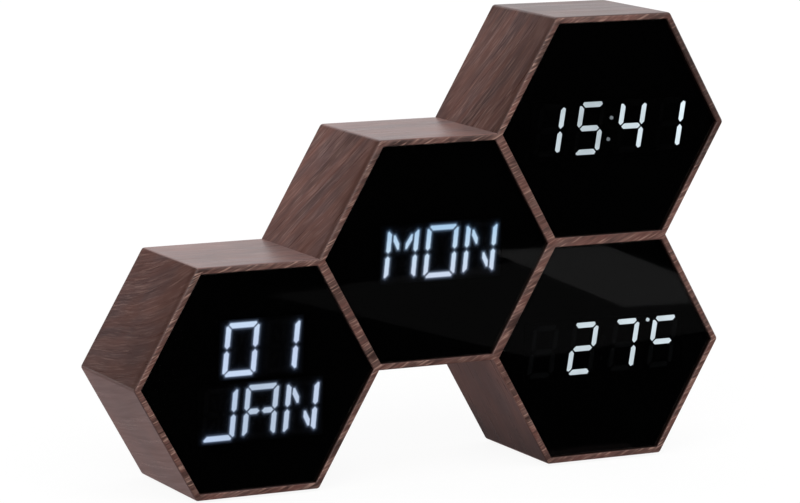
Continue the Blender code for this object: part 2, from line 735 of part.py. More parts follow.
def control_board(clock, socket_bearings):
    holes = [moved(circle(STAKE_PIN_RADIUS + HOLE_CLEARANCE, SMALL_SIDES), p) for p in boss_places()]
    board = plate("control_board", [rectangle(CONTROL_WIDTH, CONTROL_HEIGHT), *holes],
                  CONTROL_FRONT, CONTROL_BACK)
    sockets = blocks("control_sockets", [SOCKET_REACH * direction(b) for b in socket_bearings],
                     SOCKET_SIZE, SOCKET_SIZE, CONTROL_FRONT - SOCKET_HEIGHT, CONTROL_FRONT + ROOT)
    clock.add(board, "temperature", green_board(), joined=[sockets])


def button_places():
    first = (1 - BUTTON_COUNT) / 2 * BUTTON_PITCH
    return [(first + index * BUTTON_PITCH, BUTTON_Z) for index in range(BUTTON_COUNT)]


def push_button(clock, name, place):
    """A cap held behind the cover by its flange, and the switch that it presses."""
    switch_back = ON_CONTROL + SWITCH_HEIGHT
    plunger_back = switch_back + PLUNGER_PROUD
    stem_front = plunger_back + SEAT_GAP
    flange_back = COVER_FRONT - SEAT_GAP
    flange_front = flange_back - BUTTON_FLANGE_THICKNESS
    top = COVER_BACK + BUTTON_PROUD
    profile = [(0, top), (BUTTON_RADIUS - BUTTON_ROUND, top)]
    profile += [(BUTTON_RADIUS - BUTTON_ROUND * (1 - math.sin(a)), top - BUTTON_ROUND * (1 - math.cos(a)))
                for a in (math.radians(45), math.radians(90))]
    profile += [(BUTTON_RADIUS, flange_back), (BUTTON_RADIUS + BUTTON_FLANGE, flange_back),
                (BUTTON_RADIUS + BUTTON_FLANGE, flange_front), (BUTTON_STEM_RADIUS, flange_front),
                (BUTTON_STEM_RADIUS, stem_front), (0, stem_front)]
    cap = turned("button_" + name, profile, place, 0.0, ROUND_SIDES)
    clock.add(cap, "temperature", black_abs())

    well_front = switch_back - PLUNGER_IN - BUTTON_TRAVEL - SEAT_GAP
    switch = blocks("switch_" + name, [(0, 0)], SWITCH_SIZE, SWITCH_SIZE, ON_CONTROL, switch_back)
    switch.location = (place[0], ON_CONTROL, place[1])
    well = drums("well_" + name, [(0, 0)], PLUNGER_RADIUS + RUNNING_GAP, well_front,
                 switch_back + OVERRUN, ROUND_SIDES)
    well.location = (place[0], well_front, place[1])
    clock.add(switch, "temperature", steel(), cut=[well])
    plunger = drums("plunger_" + name, [(0, 0)], PLUNGER_RADIUS, switch_back - PLUNGER_IN, plunger_back,
                    ROUND_SIDES)
    plunger.location = (place[0], switch_back - PLUNGER_IN, place[1])
    clock.add(plunger, "temperature", black_abs())


def coin_cell_and_holder(clock):
    """The holder on the control board, the cell in it and the spring contact over the cell's edge."""
    floor = ON_CONTROL + HOLDER_FLOOR
    cell_front = floor + SEAT_GAP
    cell_back = cell_front + COIN_THICKNESS
    profile = [(0, cell_back), (COIN_RADIUS - COIN_EDGE, cell_back), (COIN_RADIUS, cell_back - COIN_EDGE),
               (COIN_RADIUS, cell_front), (0, cell_front)]
    cell = turned("coin_cell", profile, COIN_PLACE, 0.0, FINE_SIDES)
    clock.add(cell, "temperature", steel())

    inner = COIN_RADIUS + RUNNING_GAP
    outer = inner + HOLDER_WALL
    holder = drums("coin_cell_holder", [COIN_PLACE], outer, ON_CONTROL, cell_back, FINE_SIDES)
    pocket = drums("holder_pocket", [COIN_PLACE], inner, floor, cell_back + OVERRUN, FINE_SIDES)
    notch = blocks("holder_notch", [(COIN_PLACE[0], COIN_PLACE[1] - outer)], HOLDER_NOTCH,
                   2 * (HOLDER_WALL + OVERRUN), floor, cell_back + OVERRUN)
    clock.add(holder, "temperature", black_abs(), cut=[pocket, notch])

    strip_front = cell_back + SEAT_GAP
    strip_back = strip_front + CONTACT_THICKNESS
    leg = outer + SEAT_GAP + CONTACT_THICKNESS / 2
    near = COIN_RADIUS - CONTACT_REACH
    far = leg + CONTACT_THICKNESS / 2
    contact = blocks("coin_cell_contact", [(COIN_PLACE[0] - (near + far) / 2, COIN_PLACE[1])], far - near,
                     CONTACT_WIDTH, strip_front, strip_back)
    legs = blocks("contact_leg", [(COIN_PLACE[0] - leg, COIN_PLACE[1])], CONTACT_THICKNESS, CONTACT_WIDTH,
                  ON_CONTROL, strip_back)
    clock.add(contact, "temperature", steel(), joined=[legs])


def lug_bearings(turn):
    return [LUG_BEARING + turn + 2 * math.pi * index / LUG_COUNT for index in range(LUG_COUNT)]


def battery_cover(clock):
    """A round cap with a coin slot. Its three lugs turn in under the rear cover."""
    lug_back = COVER_FRONT - SEAT_GAP
    lug_front = lug_back - LUG_THICKNESS
    core = CAP_RADIUS - CAP_WALL
    outline = keyed_circle(CAP_RADIUS - ROOT, CAP_RADIUS + LUG_REACH, LUG_ANGLE, lug_bearings(0), FINE_SIDES)
    lugs = plate("cap_lugs", [outline], lug_front, lug_back, COIN_PLACE)
    disc = drums("battery_cover", [(0, 0)], CAP_RADIUS, lug_front, COVER_BACK, FINE_SIDES)
    disc.location = (COIN_PLACE[0], lug_front, COIN_PLACE[1])
    hollow = drums("cap_hollow", [COIN_PLACE], core, lug_front - OVERRUN, COVER_BACK - CAP_FACE, FINE_SIDES)
    slot = blocks("cap_coin_slot", [COIN_PLACE], COIN_SLOT_LENGTH, COIN_SLOT_WIDTH,
                  COVER_BACK - COIN_SLOT_DEPTH, COVER_BACK + OVERRUN)
    clock.add(disc, "temperature", black_abs(), joined=[lugs], cut=[hollow, slot])


def power_inlet(clock):
    """The round socket for the power lead, open to the back, with its centre pin."""
    floor = ON_CONTROL + JACK_FLOOR
    body_back = COVER_FRONT - SEAT_GAP
    jack = blocks("power_inlet", [JACK_PLACE], JACK_SIZE, JACK_SIZE, ON_CONTROL, body_back)
    nose = drums("inlet_nose", [JACK_PLACE], JACK_NOSE_RADIUS, body_back - ROOT, COVER_BACK, FINE_SIDES)
    bore = drums("inlet_bore", [JACK_PLACE], JACK_BORE_RADIUS, floor, COVER_BACK + OVERRUN, FINE_SIDES)
    clock.add(jack, "temperature", black_abs(), joined=[nose], cut=[bore])
    pin = drums("power_inlet_pin", [JACK_PLACE], JACK_PIN_RADIUS, floor + SEAT_GAP,
                COVER_BACK - JACK_PIN_SINK, SMALL_SIDES)
    clock.add(pin, "temperature", brass())


def buzzer(clock):
    back = ON_CONTROL + BUZZER_HEIGHT
    sounder = drums("buzzer", [BUZZER_PLACE], BUZZER_RADIUS, ON_CONTROL, back, ROUND_SIDES)
    hole = drums("buzzer_hole", [BUZZER_PLACE], BUZZER_HOLE_RADIUS, back - BUZZER_HOLE_DEPTH,
                 back + OVERRUN, SMALL_SIDES)
    clock.add(sounder, "temperature", black_abs(), cut=[hole])


def temperature_sensor(clock):
    """A bead on two legs, behind the vents."""
    bead_depth = ON_CONTROL + SENSOR_HEIGHT
    work = bmesh.new()
    stand = Matrix.Translation((VENT_PLACE[0], 0, VENT_PLACE[1]))
    bmesh.ops.create_uvsphere(work, u_segments=SMALL_SIDES, v_segments=SMALL_SIDES // 2,
                              radius=SENSOR_BEAD_RADIUS, matrix=stand)
    mesh = bpy.data.meshes.new("temperature_sensor")
    work.to_mesh(mesh)
    work.free()
    bead = mesh_object("temperature_sensor", mesh, (0, 0), bead_depth)
    feet = [(VENT_PLACE[0] + side * SENSOR_LEG_SPREAD, VENT_PLACE[1]) for side in (-1, 1)]
    legs = drums("sensor_legs", feet, SENSOR_LEG_RADIUS, ON_CONTROL, bead_depth, SMALL_SIDES // 2)
    clock.add(bead, "temperature", diffuser(), joined=[legs])


def controller_chip(clock):
    chip = plate("controller_chip", [rectangle(CHIP_SIZE, CHIP_SIZE)], ON_CONTROL,
                 ON_CONTROL + CHIP_HEIGHT, CHIP_PLACE)
    soften(chip, CHIP_CHAMFER, 1, lambda edge: all(v.co.y > CHIP_HEIGHT / 2 for v in edge.verts)
           and convex(edge))
    clock.add(chip, "temperature", black_abs())


# Rear cover: one black panel behind all four cells, held by two screws in each

def screw_places():
    places = []
    for cell in ("date", "day", "time", "temperature"):
        places += moved(post_places(), cell_centre(cell))
    return places


def rear_cover(clock):
    cover = plate("rear_cover", [case_outline(CASE_GROWTH - SIDE_RIM - SEAT_GAP)], COVER_FRONT, COVER_BACK)
    soften(cover, COVER_CHAMFER, 1, lambda edge: all(v.co.y > COVER_THICKNESS / 2 for v in edge.verts)
           and edge.calc_face_angle(0) > math.radians(20))
    controls = cell_centre("temperature")
    front = COVER_FRONT - OVERRUN
    back = COVER_BACK + OVERRUN
    shanks = drums("cover_screw_holes", screw_places(), SCREW_RADIUS + RUNNING_GAP, front, back, SMALL_SIDES)
    buttons = drums("cover_button_holes", moved(button_places(), controls), BUTTON_RADIUS + RUNNING_GAP,
                    front, back, FINE_SIDES)
    inlet = drums("cover_inlet_hole", moved([JACK_PLACE], controls), JACK_NOSE_RADIUS + RUNNING_GAP,
                  front, back, FINE_SIDES)
    keyhole = keyed_circle(CAP_RADIUS + RUNNING_GAP, CAP_RADIUS + LUG_REACH + RUNNING_GAP,
                           LUG_ANGLE + 2 * NOTCH_EXTRA_ANGLE, lug_bearings(-UNLOCK_ANGLE), FINE_SIDES)
    door = plate("cover_battery_hole", [moved(moved(keyhole, COIN_PLACE), controls)], front, back)
    vents = blocks("cover_vents", moved(vent_places(), controls), VENT_LENGTH, VENT_WIDTH, front, back)
    sound = drums("cover_sound_holes", moved(sound_hole_places(), controls), SOUND_HOLE_RADIUS,
                  front, back, SMALL_SIDES)
    clock.add(cover, "day", black_abs(), joined=cover_bosses(controls),
              cut=[shanks, buttons, inlet, door, vents, sound])


def vent_places():
    return moved([(0, index * VENT_PITCH) for index in range(VENT_COUNT)], VENT_PLACE)


def sound_hole_places():
    around = [SOUND_HOLE_REACH * direction(bearing) for bearing in HEX_CORNERS]
    return moved([(0, 0), *around], BUZZER_PLACE)


def cover_bosses(controls):
    """The bosses that carry the control board, each ending in a pin staked over the board."""
    places = moved(boss_places(), controls)
    pin_end = CONTROL_FRONT - SEAT_GAP
    inside = COVER_FRONT + ROOT
    return [
        drums("cover_bosses", places, STAKE_SHOULDER_RADIUS, CONTROL_BACK + SEAT_GAP, inside, SMALL_SIDES),
        drums("cover_pins", places, STAKE_PIN_RADIUS, pin_end - ROOT, inside, SMALL_SIDES),
        drums("cover_stakes", places, STAKE_HEAD_RADIUS, pin_end - STAKE_HEAD_THICKNESS, pin_end,
              SMALL_SIDES),
    ]


def cover_screw(clock, name, cell, place):
    under = COVER_BACK + SEAT_GAP
    top = under + SCREW_HEAD_HEIGHT
    tip = under - SCREW_LENGTH
    edge = SCREW_HEAD_HEIGHT / 3
    profile = [(0, top), (SCREW_HEAD_RADIUS - edge, top), (SCREW_HEAD_RADIUS, top - edge),
               (SCREW_HEAD_RADIUS, under), (SCREW_RADIUS, under), (SCREW_RADIUS, tip + SCREW_RADIUS),
               (0, tip)]
    clock.add(turned(name, profile, place, 0.0, SMALL_SIDES), cell, steel())


# Wires between the boards

def smooth_route(points, count):
    """The points, joined by a smooth curve but for the straight leads at both ends."""
    route = [points[0]]
    spans = len(points) - 3
    for index in range(spans * count + 1):
        span = min(index // count, spans - 1)
        t = index / count - span
        a, b, c, d = points[span:span + 4]
        route.append((2 * b + (c - a) * t + (2 * a - 5 * b + 4 * c - d) * t ** 2
                      + (3 * b - 3 * c + d - a) * t ** 3) / 2)
    return [*route, points[-1]]


def wire(clock, name, points):
    """A sleeved bundle of wires along a route of (x, depth, z) points from the day cell's centre."""
    curve = bpy.data.curves.new(name, "CURVE")
    curve.dimensions = "3D"
    curve.bevel_depth = WIRE_RADIUS
    curve.bevel_resolution = 1
    curve.use_fill_caps = True
    route = smooth_route(points, 4)
    spline = curve.splines.new("POLY")
    spline.points.add(len(route) - 1)
    for point, place in zip(spline.points, route):
        point.co = (*place, 1)
    clock.add(bpy.data.objects.new(name, curve), "day", wire_sleeve())


def socket_mouth(cell, bearing, depth):
    x, z = cell_centre(cell) + SOCKET_REACH * direction(bearing)
    return Vector((x, depth, z))


def wall_gate(first, second, side):
    """A point on a wire hole's axis, in its wall's middle or just off one of its faces."""
    a = cell_centre(first)
    b = cell_centre(second)
    point = (a + b) / 2 + (b - a).normalized() * side * (LEDGE + SHARED_RIM / 2 + WIRE_HOLE_RADIUS)
    return Vector((point.x, WIRE_HOLE_DEPTH, point.y))


def wires(clock):
    display_mouth = BOARD_BACK + SOCKET_HEIGHT + SEAT_GAP
    control_mouth = CONTROL_FRONT - SOCKET_HEIGHT - SEAT_GAP
    lead = Vector((0, WIRE_LEAD, 0))

    start = socket_mouth("temperature", 240, control_mouth)
    end = socket_mouth("temperature", 240, display_mouth)
    bow = (start + end) / 2 + Vector((WIRE_LEAD, 0, 0))
    wire(clock, "wire_temperature", [start, start - lead, bow, end + lead, end])

    runs = (
        ("wire_day", ("temperature", 150, control_mouth, -1), ("day", -30, display_mouth, 1)),
        ("wire_time", ("temperature", 90, control_mouth, -1), ("time", 270, display_mouth, 1)),
        ("wire_date", ("day", 210, display_mouth, 1), ("date", 30, display_mouth, 1)),
    )
    for name, (first, bearing, depth, way), (second, back_bearing, back_depth, back_way) in runs:
        start = socket_mouth(first, bearing, depth)
        end = socket_mouth(second, back_bearing, back_depth)
        gates = [wall_gate(first, second, side) for side in (-1, 1)]
        wire(clock, name, [start, start + way * lead, *gates, end + back_way * lead, end])


def build():
    clock = Clock()
    wood_case(clock)
    foot_pads(clock)
    numerals = numeral_display()
    displays = {
        "date": [("date", letter_display(2), DATE_PLACE, False),
                 ("month", letter_display(3), MONTH_PLACE, False)],
        "day": [("day", letter_display(3), DAY_PLACE, False)],
        "time": [("time", numerals, TIME_PLACE, True)],
        "temperature": [("temperature", numerals, TEMPERATURE_PLACE, True)],
    }
    sockets = {"date": [30], "day": [-30, 210], "time": [270], "temperature": [240]}
    for cell, modules in displays.items():
        front_lens(clock, cell)
        windows = [display_module(clock, cell, *module) for module in modules]
        inner_frame(clock, cell, windows)
        display_board(clock, cell, sockets[cell])
        for side, place in zip(("upper", "lower"), post_places()):
            cover_screw(clock, "cover_screw_" + cell + "_" + side, cell, place)
    rear_cover(clock)
    control_board(clock, [90, 150, 240])
    for name, place in zip(("set", "down", "up"), button_places()):
        push_button(clock, name, place)
    coin_cell_and_holder(clock)
    battery_cover(clock)
    power_inlet(clock)
    buzzer(clock)
    temperature_sensor(clock)
    controller_chip(clock)
    wires(clock)


build()
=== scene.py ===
# Desk clock: four hexagonal display cells in one walnut-veneered honeycomb case.
# Metres, +Z up, the displays face -Y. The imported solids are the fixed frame, and every piece sits on them.

import math

import bmesh
import bpy
import numpy as np
from mathutils import Matrix, Vector


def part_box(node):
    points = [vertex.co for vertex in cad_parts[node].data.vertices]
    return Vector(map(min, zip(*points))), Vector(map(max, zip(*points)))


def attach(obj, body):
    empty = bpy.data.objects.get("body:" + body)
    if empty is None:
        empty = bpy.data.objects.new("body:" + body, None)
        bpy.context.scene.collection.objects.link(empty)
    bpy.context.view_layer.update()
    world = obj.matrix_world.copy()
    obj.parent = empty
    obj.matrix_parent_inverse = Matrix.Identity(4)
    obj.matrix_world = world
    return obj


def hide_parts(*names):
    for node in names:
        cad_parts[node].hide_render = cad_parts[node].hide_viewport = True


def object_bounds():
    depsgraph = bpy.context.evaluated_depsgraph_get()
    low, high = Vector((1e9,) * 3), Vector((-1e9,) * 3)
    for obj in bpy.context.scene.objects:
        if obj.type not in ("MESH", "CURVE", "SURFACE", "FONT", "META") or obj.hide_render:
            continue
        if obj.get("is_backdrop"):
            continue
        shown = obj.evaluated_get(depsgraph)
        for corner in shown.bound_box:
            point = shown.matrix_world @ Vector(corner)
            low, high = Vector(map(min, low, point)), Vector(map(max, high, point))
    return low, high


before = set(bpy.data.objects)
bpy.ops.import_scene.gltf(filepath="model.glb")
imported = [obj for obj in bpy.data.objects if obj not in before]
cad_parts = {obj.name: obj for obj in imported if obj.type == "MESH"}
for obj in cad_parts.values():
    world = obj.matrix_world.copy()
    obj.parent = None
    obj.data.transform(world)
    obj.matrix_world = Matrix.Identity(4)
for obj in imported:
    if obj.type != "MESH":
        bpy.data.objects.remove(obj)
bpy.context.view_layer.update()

# Camera
# A long lens from the left and a little above, as in the photograph. Its focal length, its place and its
# turn in degrees were fitted to the corners of the clock.

FOCAL_LENGTH = 173
CAMERA_PLACE = (-0.7834, -1.4937, 0.3846)
CAMERA_TURN = (80.33756, -0.65712, -27.44972)


def put_in_scene(name, data, turn=(0, 0, 0)):
    """A new object, turned by these degrees."""
    added = bpy.data.objects.new(name, data)
    added.rotation_euler = [math.radians(angle) for angle in turn]
    bpy.context.scene.collection.objects.link(added)
    return added


camera_data = bpy.data.cameras.new("camera")
camera_data.sensor_width = 36
camera_data.lens = FOCAL_LENGTH
camera = put_in_scene("camera", camera_data, CAMERA_TURN)
camera.location = CAMERA_PLACE
bpy.context.scene.camera = camera
bpy.context.scene.view_settings.view_transform = "Standard"

# Studio
# A white table without an edge, soft light from all round, and two soft lamps. White card stays
# white where the camera or a gloss sees it, and it keeps the clock's soft shadow.

TABLE_SIZE = 24
TABLE_WHITE = "FBFBFB"
TABLE_OWN_LIGHT = 0.88
TABLE_GLOW = 1.036
ROOM_LIGHT = 0.62
# The lamps: turn in degrees, strength and spread in degrees
LAMPS = (("lamp_high", (58, 0, -38), 1.05, 50), ("lamp_front", (62, 0, 24), 0.55, 70))
# Glowing cards that only glosses see, which paint reflections: size, place and turn in degrees, and colour
# front_card paints a black reflection in the lenses, dim_sheet and light_strip a grey patch and a lighter
# strip in them, paper_card a pinkish reflection in the lower left panels, arch_card painted shade under the
# arch in those panels, back_card a pale backdrop in the sheen of the tops, left_flag a dark reflection in
# the upper left panels
CARDS = (
    ("front_card", (2.6, 2.2), (0.45, -1.131, 0.002), (0, 0, 0), "060606"),
    ("dim_sheet", (0.19, 0.22), (0.237, -0.365, 0.0030), (0, 0, -12), "6A6A6A"),
    ("light_strip", (0.075, 0.190), (0.329, -0.430, 0.0035), (0, 0, 6), "D4D4D4"),
    ("paper_card", (2.4, 2.2), (0.0, 1.03, 0.001), (0, 0, 0), "CDB2B0"),
    ("arch_card", (0.11, 0.40), (0.055, 0.15, 0.002), (0, 0, 0), "786A6A"),
    ("back_card", (3.6, 1.5), (1.1, 2.2, 0.85), (90, 0, 0), "F6F0F1"),
    ("left_flag", (0.95, 0.80), (-0.47, 0.83, 0.52), (68, 0, 27), "050505"),
)


def linear(code):
    """A colour written as sRGB hex, as the linear RGBA that a shader takes."""
    channels = [int(code[start:start + 2], 16) / 255 for start in (0, 2, 4)]
    return (*[c / 12.92 if c <= 0.04045 else ((c + 0.055) / 1.055) ** 2.4 for c in channels], 1)


def node(tree, kind, inputs=None, stops=None, **settings):
    """Adds a node with its settings. An input is a value, a socket or a node, for its first output."""
    added = tree.nodes.new("ShaderNode" + kind)
    for name, value in settings.items():
        setattr(added, name, value)
    for name, value in (inputs or {}).items():
        if isinstance(value, bpy.types.Node):
            value = value.outputs[0]
        if isinstance(value, bpy.types.NodeSocket):
            tree.links.new(value, added.inputs[name])
        else:
            added.inputs[name].default_value = value
    for index, (position, code) in enumerate(stops or ()):
        elements = added.color_ramp.elements
        stop = elements[index] if index < len(elements) else elements.new(position)
        stop.position = position
        stop.color = linear(code)
    return added


def empty_material(name):
    material = bpy.data.materials.new(name)
    material.use_nodes = True
    material.node_tree.nodes.clear()
    return material, material.node_tree


def surface(material, kind, inputs):
    """Ends a material's nodes with this shader."""
    shader = node(material.node_tree, kind, inputs)
    node(material.node_tree, "OutputMaterial", {"Surface": shader})
    return material


def seen_directly(tree):
    """1 for rays that the camera, a gloss or a clear piece sends out, 0 for the light on matt surfaces."""
    path = node(tree, "LightPath")
    sight = node(tree, "Math", {0: path.outputs["Is Camera Ray"], 1: path.outputs["Is Glossy Ray"]},
                 operation="MAXIMUM")
    return node(tree, "Math", {0: sight, 1: path.outputs["Is Transmission Ray"]}, operation="MAXIMUM")


def deselect():
    if bpy.context.mode != "OBJECT":
        bpy.ops.object.mode_set(mode="OBJECT")
    bpy.ops.object.select_all(action="DESELECT")


def flat_sheet(name, size, place):
    deselect()
    bpy.ops.mesh.primitive_plane_add(size=1, location=place)
    sheet = bpy.context.object
    sheet.name = name
    sheet.scale = (*size, 1)
    return sheet


world = bpy.data.worlds.new("studio")
bpy.context.scene.world = world
world.use_nodes = True
sky = world.node_tree
sky.nodes.clear()
room = node(sky, "Background", {"Color": (1, 1, 1, 1), "Strength": ROOM_LIGHT})
white = node(sky, "Background", {"Color": (1, 1, 1, 1), "Strength": 1.0})
shown = node(sky, "MixShader", {0: seen_directly(sky), 1: room, 2: white})
node(sky, "OutputWorld", {"Surface": shown})

for name, turn, strength, spread in LAMPS:
    lamp_data = bpy.data.lights.new(name, "SUN")
    lamp_data.energy = strength
    lamp_data.angle = math.radians(spread)
    put_in_scene(name, lamp_data, turn)

table = flat_sheet("table", (TABLE_SIZE, TABLE_SIZE), (0, 0, 0))
paper, tree = empty_material("white_paper_sheet")
matt = node(tree, "BsdfDiffuse", {"Color": linear(TABLE_WHITE)})
glow = node(tree, "Emission", {"Color": (1, 1, 1, 1), "Strength": TABLE_GLOW})
share = node(tree, "Math", {0: seen_directly(tree), 1: TABLE_OWN_LIGHT}, operation="MULTIPLY")
table.data.materials.append(surface(paper, "MixShader", {0: share, 1: matt, 2: glow}))
table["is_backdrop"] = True

for name, size, place, turn, colour in CARDS:
    card = flat_sheet(name, size, place)
    card.rotation_euler = [math.radians(angle) for angle in turn]
    for rays in ("camera", "diffuse", "shadow", "transmission"):
        setattr(card, "visible_" + rays, False)
    # Each card glows in its colour where a gloss sees it: a painted reflection
    face, tree = empty_material("painted_reflection_card_" + name)
    card.data.materials.append(surface(face, "Emission", {"Color": linear(colour), "Strength": 1.0}))
    card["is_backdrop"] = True

# Wooden case
# Walnut veneer on board, mitred into four hexagonal tubes that share their walls. Every cell has a
# ledge in front for the lens and one behind for the rear cover. The outer edges are sanded round.

COS_30 = math.cos(math.radians(30))
FLATS_ON_TOP = (math.pi / 2, math.pi / 6, 0)
CELLS = ("date", "day", "time", "temperature")
SEAT_GAP = 0.0003
RIM_BREAK = 0.0003
EDGE_ROUND = 0.0011
OVERRUN = 0.0012
SAME_POINT = 0.000002
LEDGE = 0.0030
LENS_FRAME_FLANGE = 0.0018
COVER_THICKNESS = 0.0026
WIRE_HOLE_RADIUS = 0.0040
WIRE_HOLE_DEPTH = 0.0300
WIRE_DRILL_LENGTH = 0.013
WIRE_WALLS = (("date", "day"), ("day", "temperature"), ("time", "temperature"))
# How the grain lies in each panel: its turn from the run of the panel in degrees, and then its bow, how
# light and how red the wood is, how strongly it is figured and how dark its front edge is. How light the
# wood is holds painted light and shade as well as its own tone: the tops are painted lighter, as lit from
# above, and the temperature cell's lower left panel darker at its lower end by the arch. Where these change
# along the panel, there is one number for its lower or left end and one for the other.
TRAITS = ("bow", "tone_and_painted_shade", "warmth", "figure", "band")
GRAIN = {("date", 150): (82, (0.3, 2.9), (1.04, 1.5), (0.35, 0.65), (0.49, 0.58), 0.75),
         ("day", 150): (34, (0.25, 0.35), (1.94, 1.91), 0.4, 0.75, 0.8),
         ("time", 150): (27, (1.4, 1.8), (1.5, 1.44), (0.58, 0.32), (0.89, 0.76), 0.8),
         ("date", -150): (80, 0.5, (0.92, 1.04), 0.5, 0.1, 0),
         ("temperature", -150): (3, 0.5, (0.75, 1.85), 0.5, 0.3, 0.1),
         ("date", 90): (2, 0.6, (2.91, 2.44), 0.3, 0.3, 0.3),
         ("day", 90): (-3, 0.4, (2.68, 2.42), 0.4, 0.3, 0.3),
         ("time", 90): (4, 0.8, 1.5, 0.5, 0.3, 0.3),
         ("temperature", -30): (70, 5.0, 1.1, 0.5, 0.8, 0.4)}
PLAIN_GRAIN = (5, 0.8, 1.2, 0.5, 0.5, 0.4)
RIM_GRAIN = (24, 0, 1, 0.6, 1.6, 0)
GRAIN_START = 0.045
# How far apart the patterns of two cells, and of the panels round one cell, are cut from the wood
CELL_SHIFT = 0.31
ROUND_SHIFT = 0.57

CENTRES = {cell: sum(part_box("lens_" + cell), Vector()) / 2 for cell in CELLS}
CASE_LOW, CASE_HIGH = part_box("wood_case")
FRONT = CASE_LOW.y
BACK = CASE_HIGH.y
LENS_LOW, LENS_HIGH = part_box("lens_day")
LENS_APOTHEM = (LENS_HIGH.z - LENS_LOW.z) / 2 + SEAT_GAP
CELL_PITCH = (CENTRES["day"] - CENTRES["date"]).length
CASE_GROWTH = CASE_HIGH.z - CENTRES["time"].z - CELL_PITCH / 2
FRONT_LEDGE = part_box("inner_frame_day")[0].y + LENS_FRAME_FLANGE + SEAT_GAP
REAR_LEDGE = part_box("rear_cover")[1].y - COVER_THICKNESS - SEAT_GAP


def take(piece):
    """Makes a piece the only one that is selected, and the active one."""
    deselect()
    piece.select_set(True)
    bpy.context.view_layer.objects.active = piece


def edit(piece, kind, chosen=lambda element: True):
    """Starts editing a piece, with only the faces, edges or points selected that chosen picks."""
    take(piece)
    bpy.ops.object.mode_set(mode="EDIT")
    bpy.ops.mesh.select_mode(type={"verts": "VERT", "edges": "EDGE", "faces": "FACE"}[kind])
    bpy.ops.mesh.select_all(action="DESELECT")
    mesh = bmesh.from_edit_mesh(piece.data)
    for element in getattr(mesh, kind):
        if chosen(element):
            element.select_set(True)
    mesh.select_flush_mode()
    bmesh.update_edit_mesh(piece.data)


def face_outwards():
    """Turns every face of the piece in hand outwards, and ends its editing."""
    bpy.ops.mesh.select_all(action="SELECT")
    bpy.ops.mesh.normals_make_consistent(inside=False)
    bpy.ops.object.mode_set(mode="OBJECT")


def round_edges(piece, size, segments, chosen=lambda edge: True):
    edit(piece, "edges", chosen)
    bpy.ops.mesh.bevel(offset=size, segments=segments, affect="EDGES", profile=0.5)
    bpy.ops.object.mode_set(mode="OBJECT")


def hexagonal_bar(name, centre, apothem, front, back):
    """A six-sided bar along the depth, with flats above and below."""
    deselect()
    bpy.ops.mesh.primitive_cylinder_add(vertices=6, radius=apothem / COS_30, depth=back - front,
                                        location=(centre.x, (front + back) / 2, centre.z),
                                        rotation=FLATS_ON_TOP)
    bar = bpy.context.object
    bar.name = name
    bpy.ops.object.transform_apply(location=True, rotation=True, scale=True)
    return bar


def combine(piece, other, operation):
    """Joins another shape to a piece or cuts it out, and removes that shape."""
    take(piece)
    boolean = piece.modifiers.new("boolean", "BOOLEAN")
    boolean.operation = operation
    boolean.solver = "EXACT"
    boolean.object = other
    bpy.ops.object.modifier_apply(modifier=boolean.name)
    bpy.data.objects.remove(other)


def shade_crisp(piece, angle):
    """Smooth shading over the rounded edges, while every large flat keeps its own straight normal."""
    take(piece)
    bpy.ops.object.shade_smooth_by_angle(angle=math.radians(angle))
    weighted = piece.modifiers.new("weighted", "WEIGHTED_NORMAL")
    weighted.keep_sharp = True
    bpy.ops.object.modifier_apply(modifier=weighted.name)


def clean_flats(piece):
    edit(piece, "verts")
    bpy.ops.mesh.remove_doubles(threshold=SAME_POINT)
    bpy.ops.mesh.dissolve_limited(angle_limit=math.radians(0.5))
    bpy.ops.object.mode_set(mode="OBJECT")


def joined(pieces, name):
    take(pieces[0])
    for piece in pieces[1:]:
        piece.select_set(True)
    bpy.ops.object.join()
    pieces[0].name = name
    bpy.ops.object.transform_apply(location=True, rotation=True, scale=True)
    return pieces[0]


def honeycomb(name, growth, front, back):
    """One solid of all four cells, whose outline lies outside the lattice of cells by growth."""
    outlines = []
    for cell in CELLS:
        deselect()
        bpy.ops.mesh.primitive_circle_add(vertices=6, radius=CELL_PITCH / 2 / COS_30, fill_type="NGON",
                                          location=(CENTRES[cell].x, front, CENTRES[cell].z),
                                          rotation=FLATS_ON_TOP)
        outlines.append(bpy.context.object)
    whole = joined(outlines, name)
    edit(whole, "faces")
    bpy.ops.mesh.remove_doubles(threshold=SAME_POINT)
    bpy.ops.mesh.dissolve_faces()
    bpy.ops.mesh.delete(type="ONLY_FACE")
    edit(whole, "edges")
    bpy.ops.mesh.extrude_edges_move(TRANSFORM_OT_translate={"value": (0, back - front, 0)})
    face_outwards()
    edit(whole, "faces")
    bpy.ops.transform.shrink_fatten(value=growth, use_even_offset=True)
    for depth in (front, back):
        edit(whole, "edges", lambda edge: all(abs(point.co.y - depth) < OVERRUN for point in edge.verts))
        bpy.ops.mesh.edge_face_add()
    face_outwards()
    return whole


case = honeycomb("veneered_case", CASE_GROWTH, FRONT, BACK)
round_edges(case, EDGE_ROUND, 4, lambda edge: edge.calc_face_angle_signed(0) > math.radians(20))
rear_rebate = honeycomb("rear_rebate", LENS_APOTHEM - CELL_PITCH / 2, REAR_LEDGE, BACK + OVERRUN)
combine(case, rear_rebate, "DIFFERENCE")
for cell in CELLS:
    centre = CENTRES[cell]
    opening = hexagonal_bar("opening", centre, LENS_APOTHEM - LEDGE, FRONT_LEDGE - OVERRUN, BACK + OVERRUN)
    combine(case, opening, "DIFFERENCE")
    rebate = hexagonal_bar("rebate", centre, LENS_APOTHEM, FRONT + RIM_BREAK, FRONT_LEDGE)
    edit(rebate, "faces", lambda face: face.normal.y < -0.9)
    bpy.ops.mesh.extrude_region_move(TRANSFORM_OT_translate={"value": (0, -RIM_BREAK - OVERRUN, 0)})
    wider = (LENS_APOTHEM + RIM_BREAK + OVERRUN) / LENS_APOTHEM
    bpy.ops.transform.resize(value=(wider, 1, wider), center_override=(centre.x, FRONT, centre.z))
    combine(case, rebate, "DIFFERENCE")
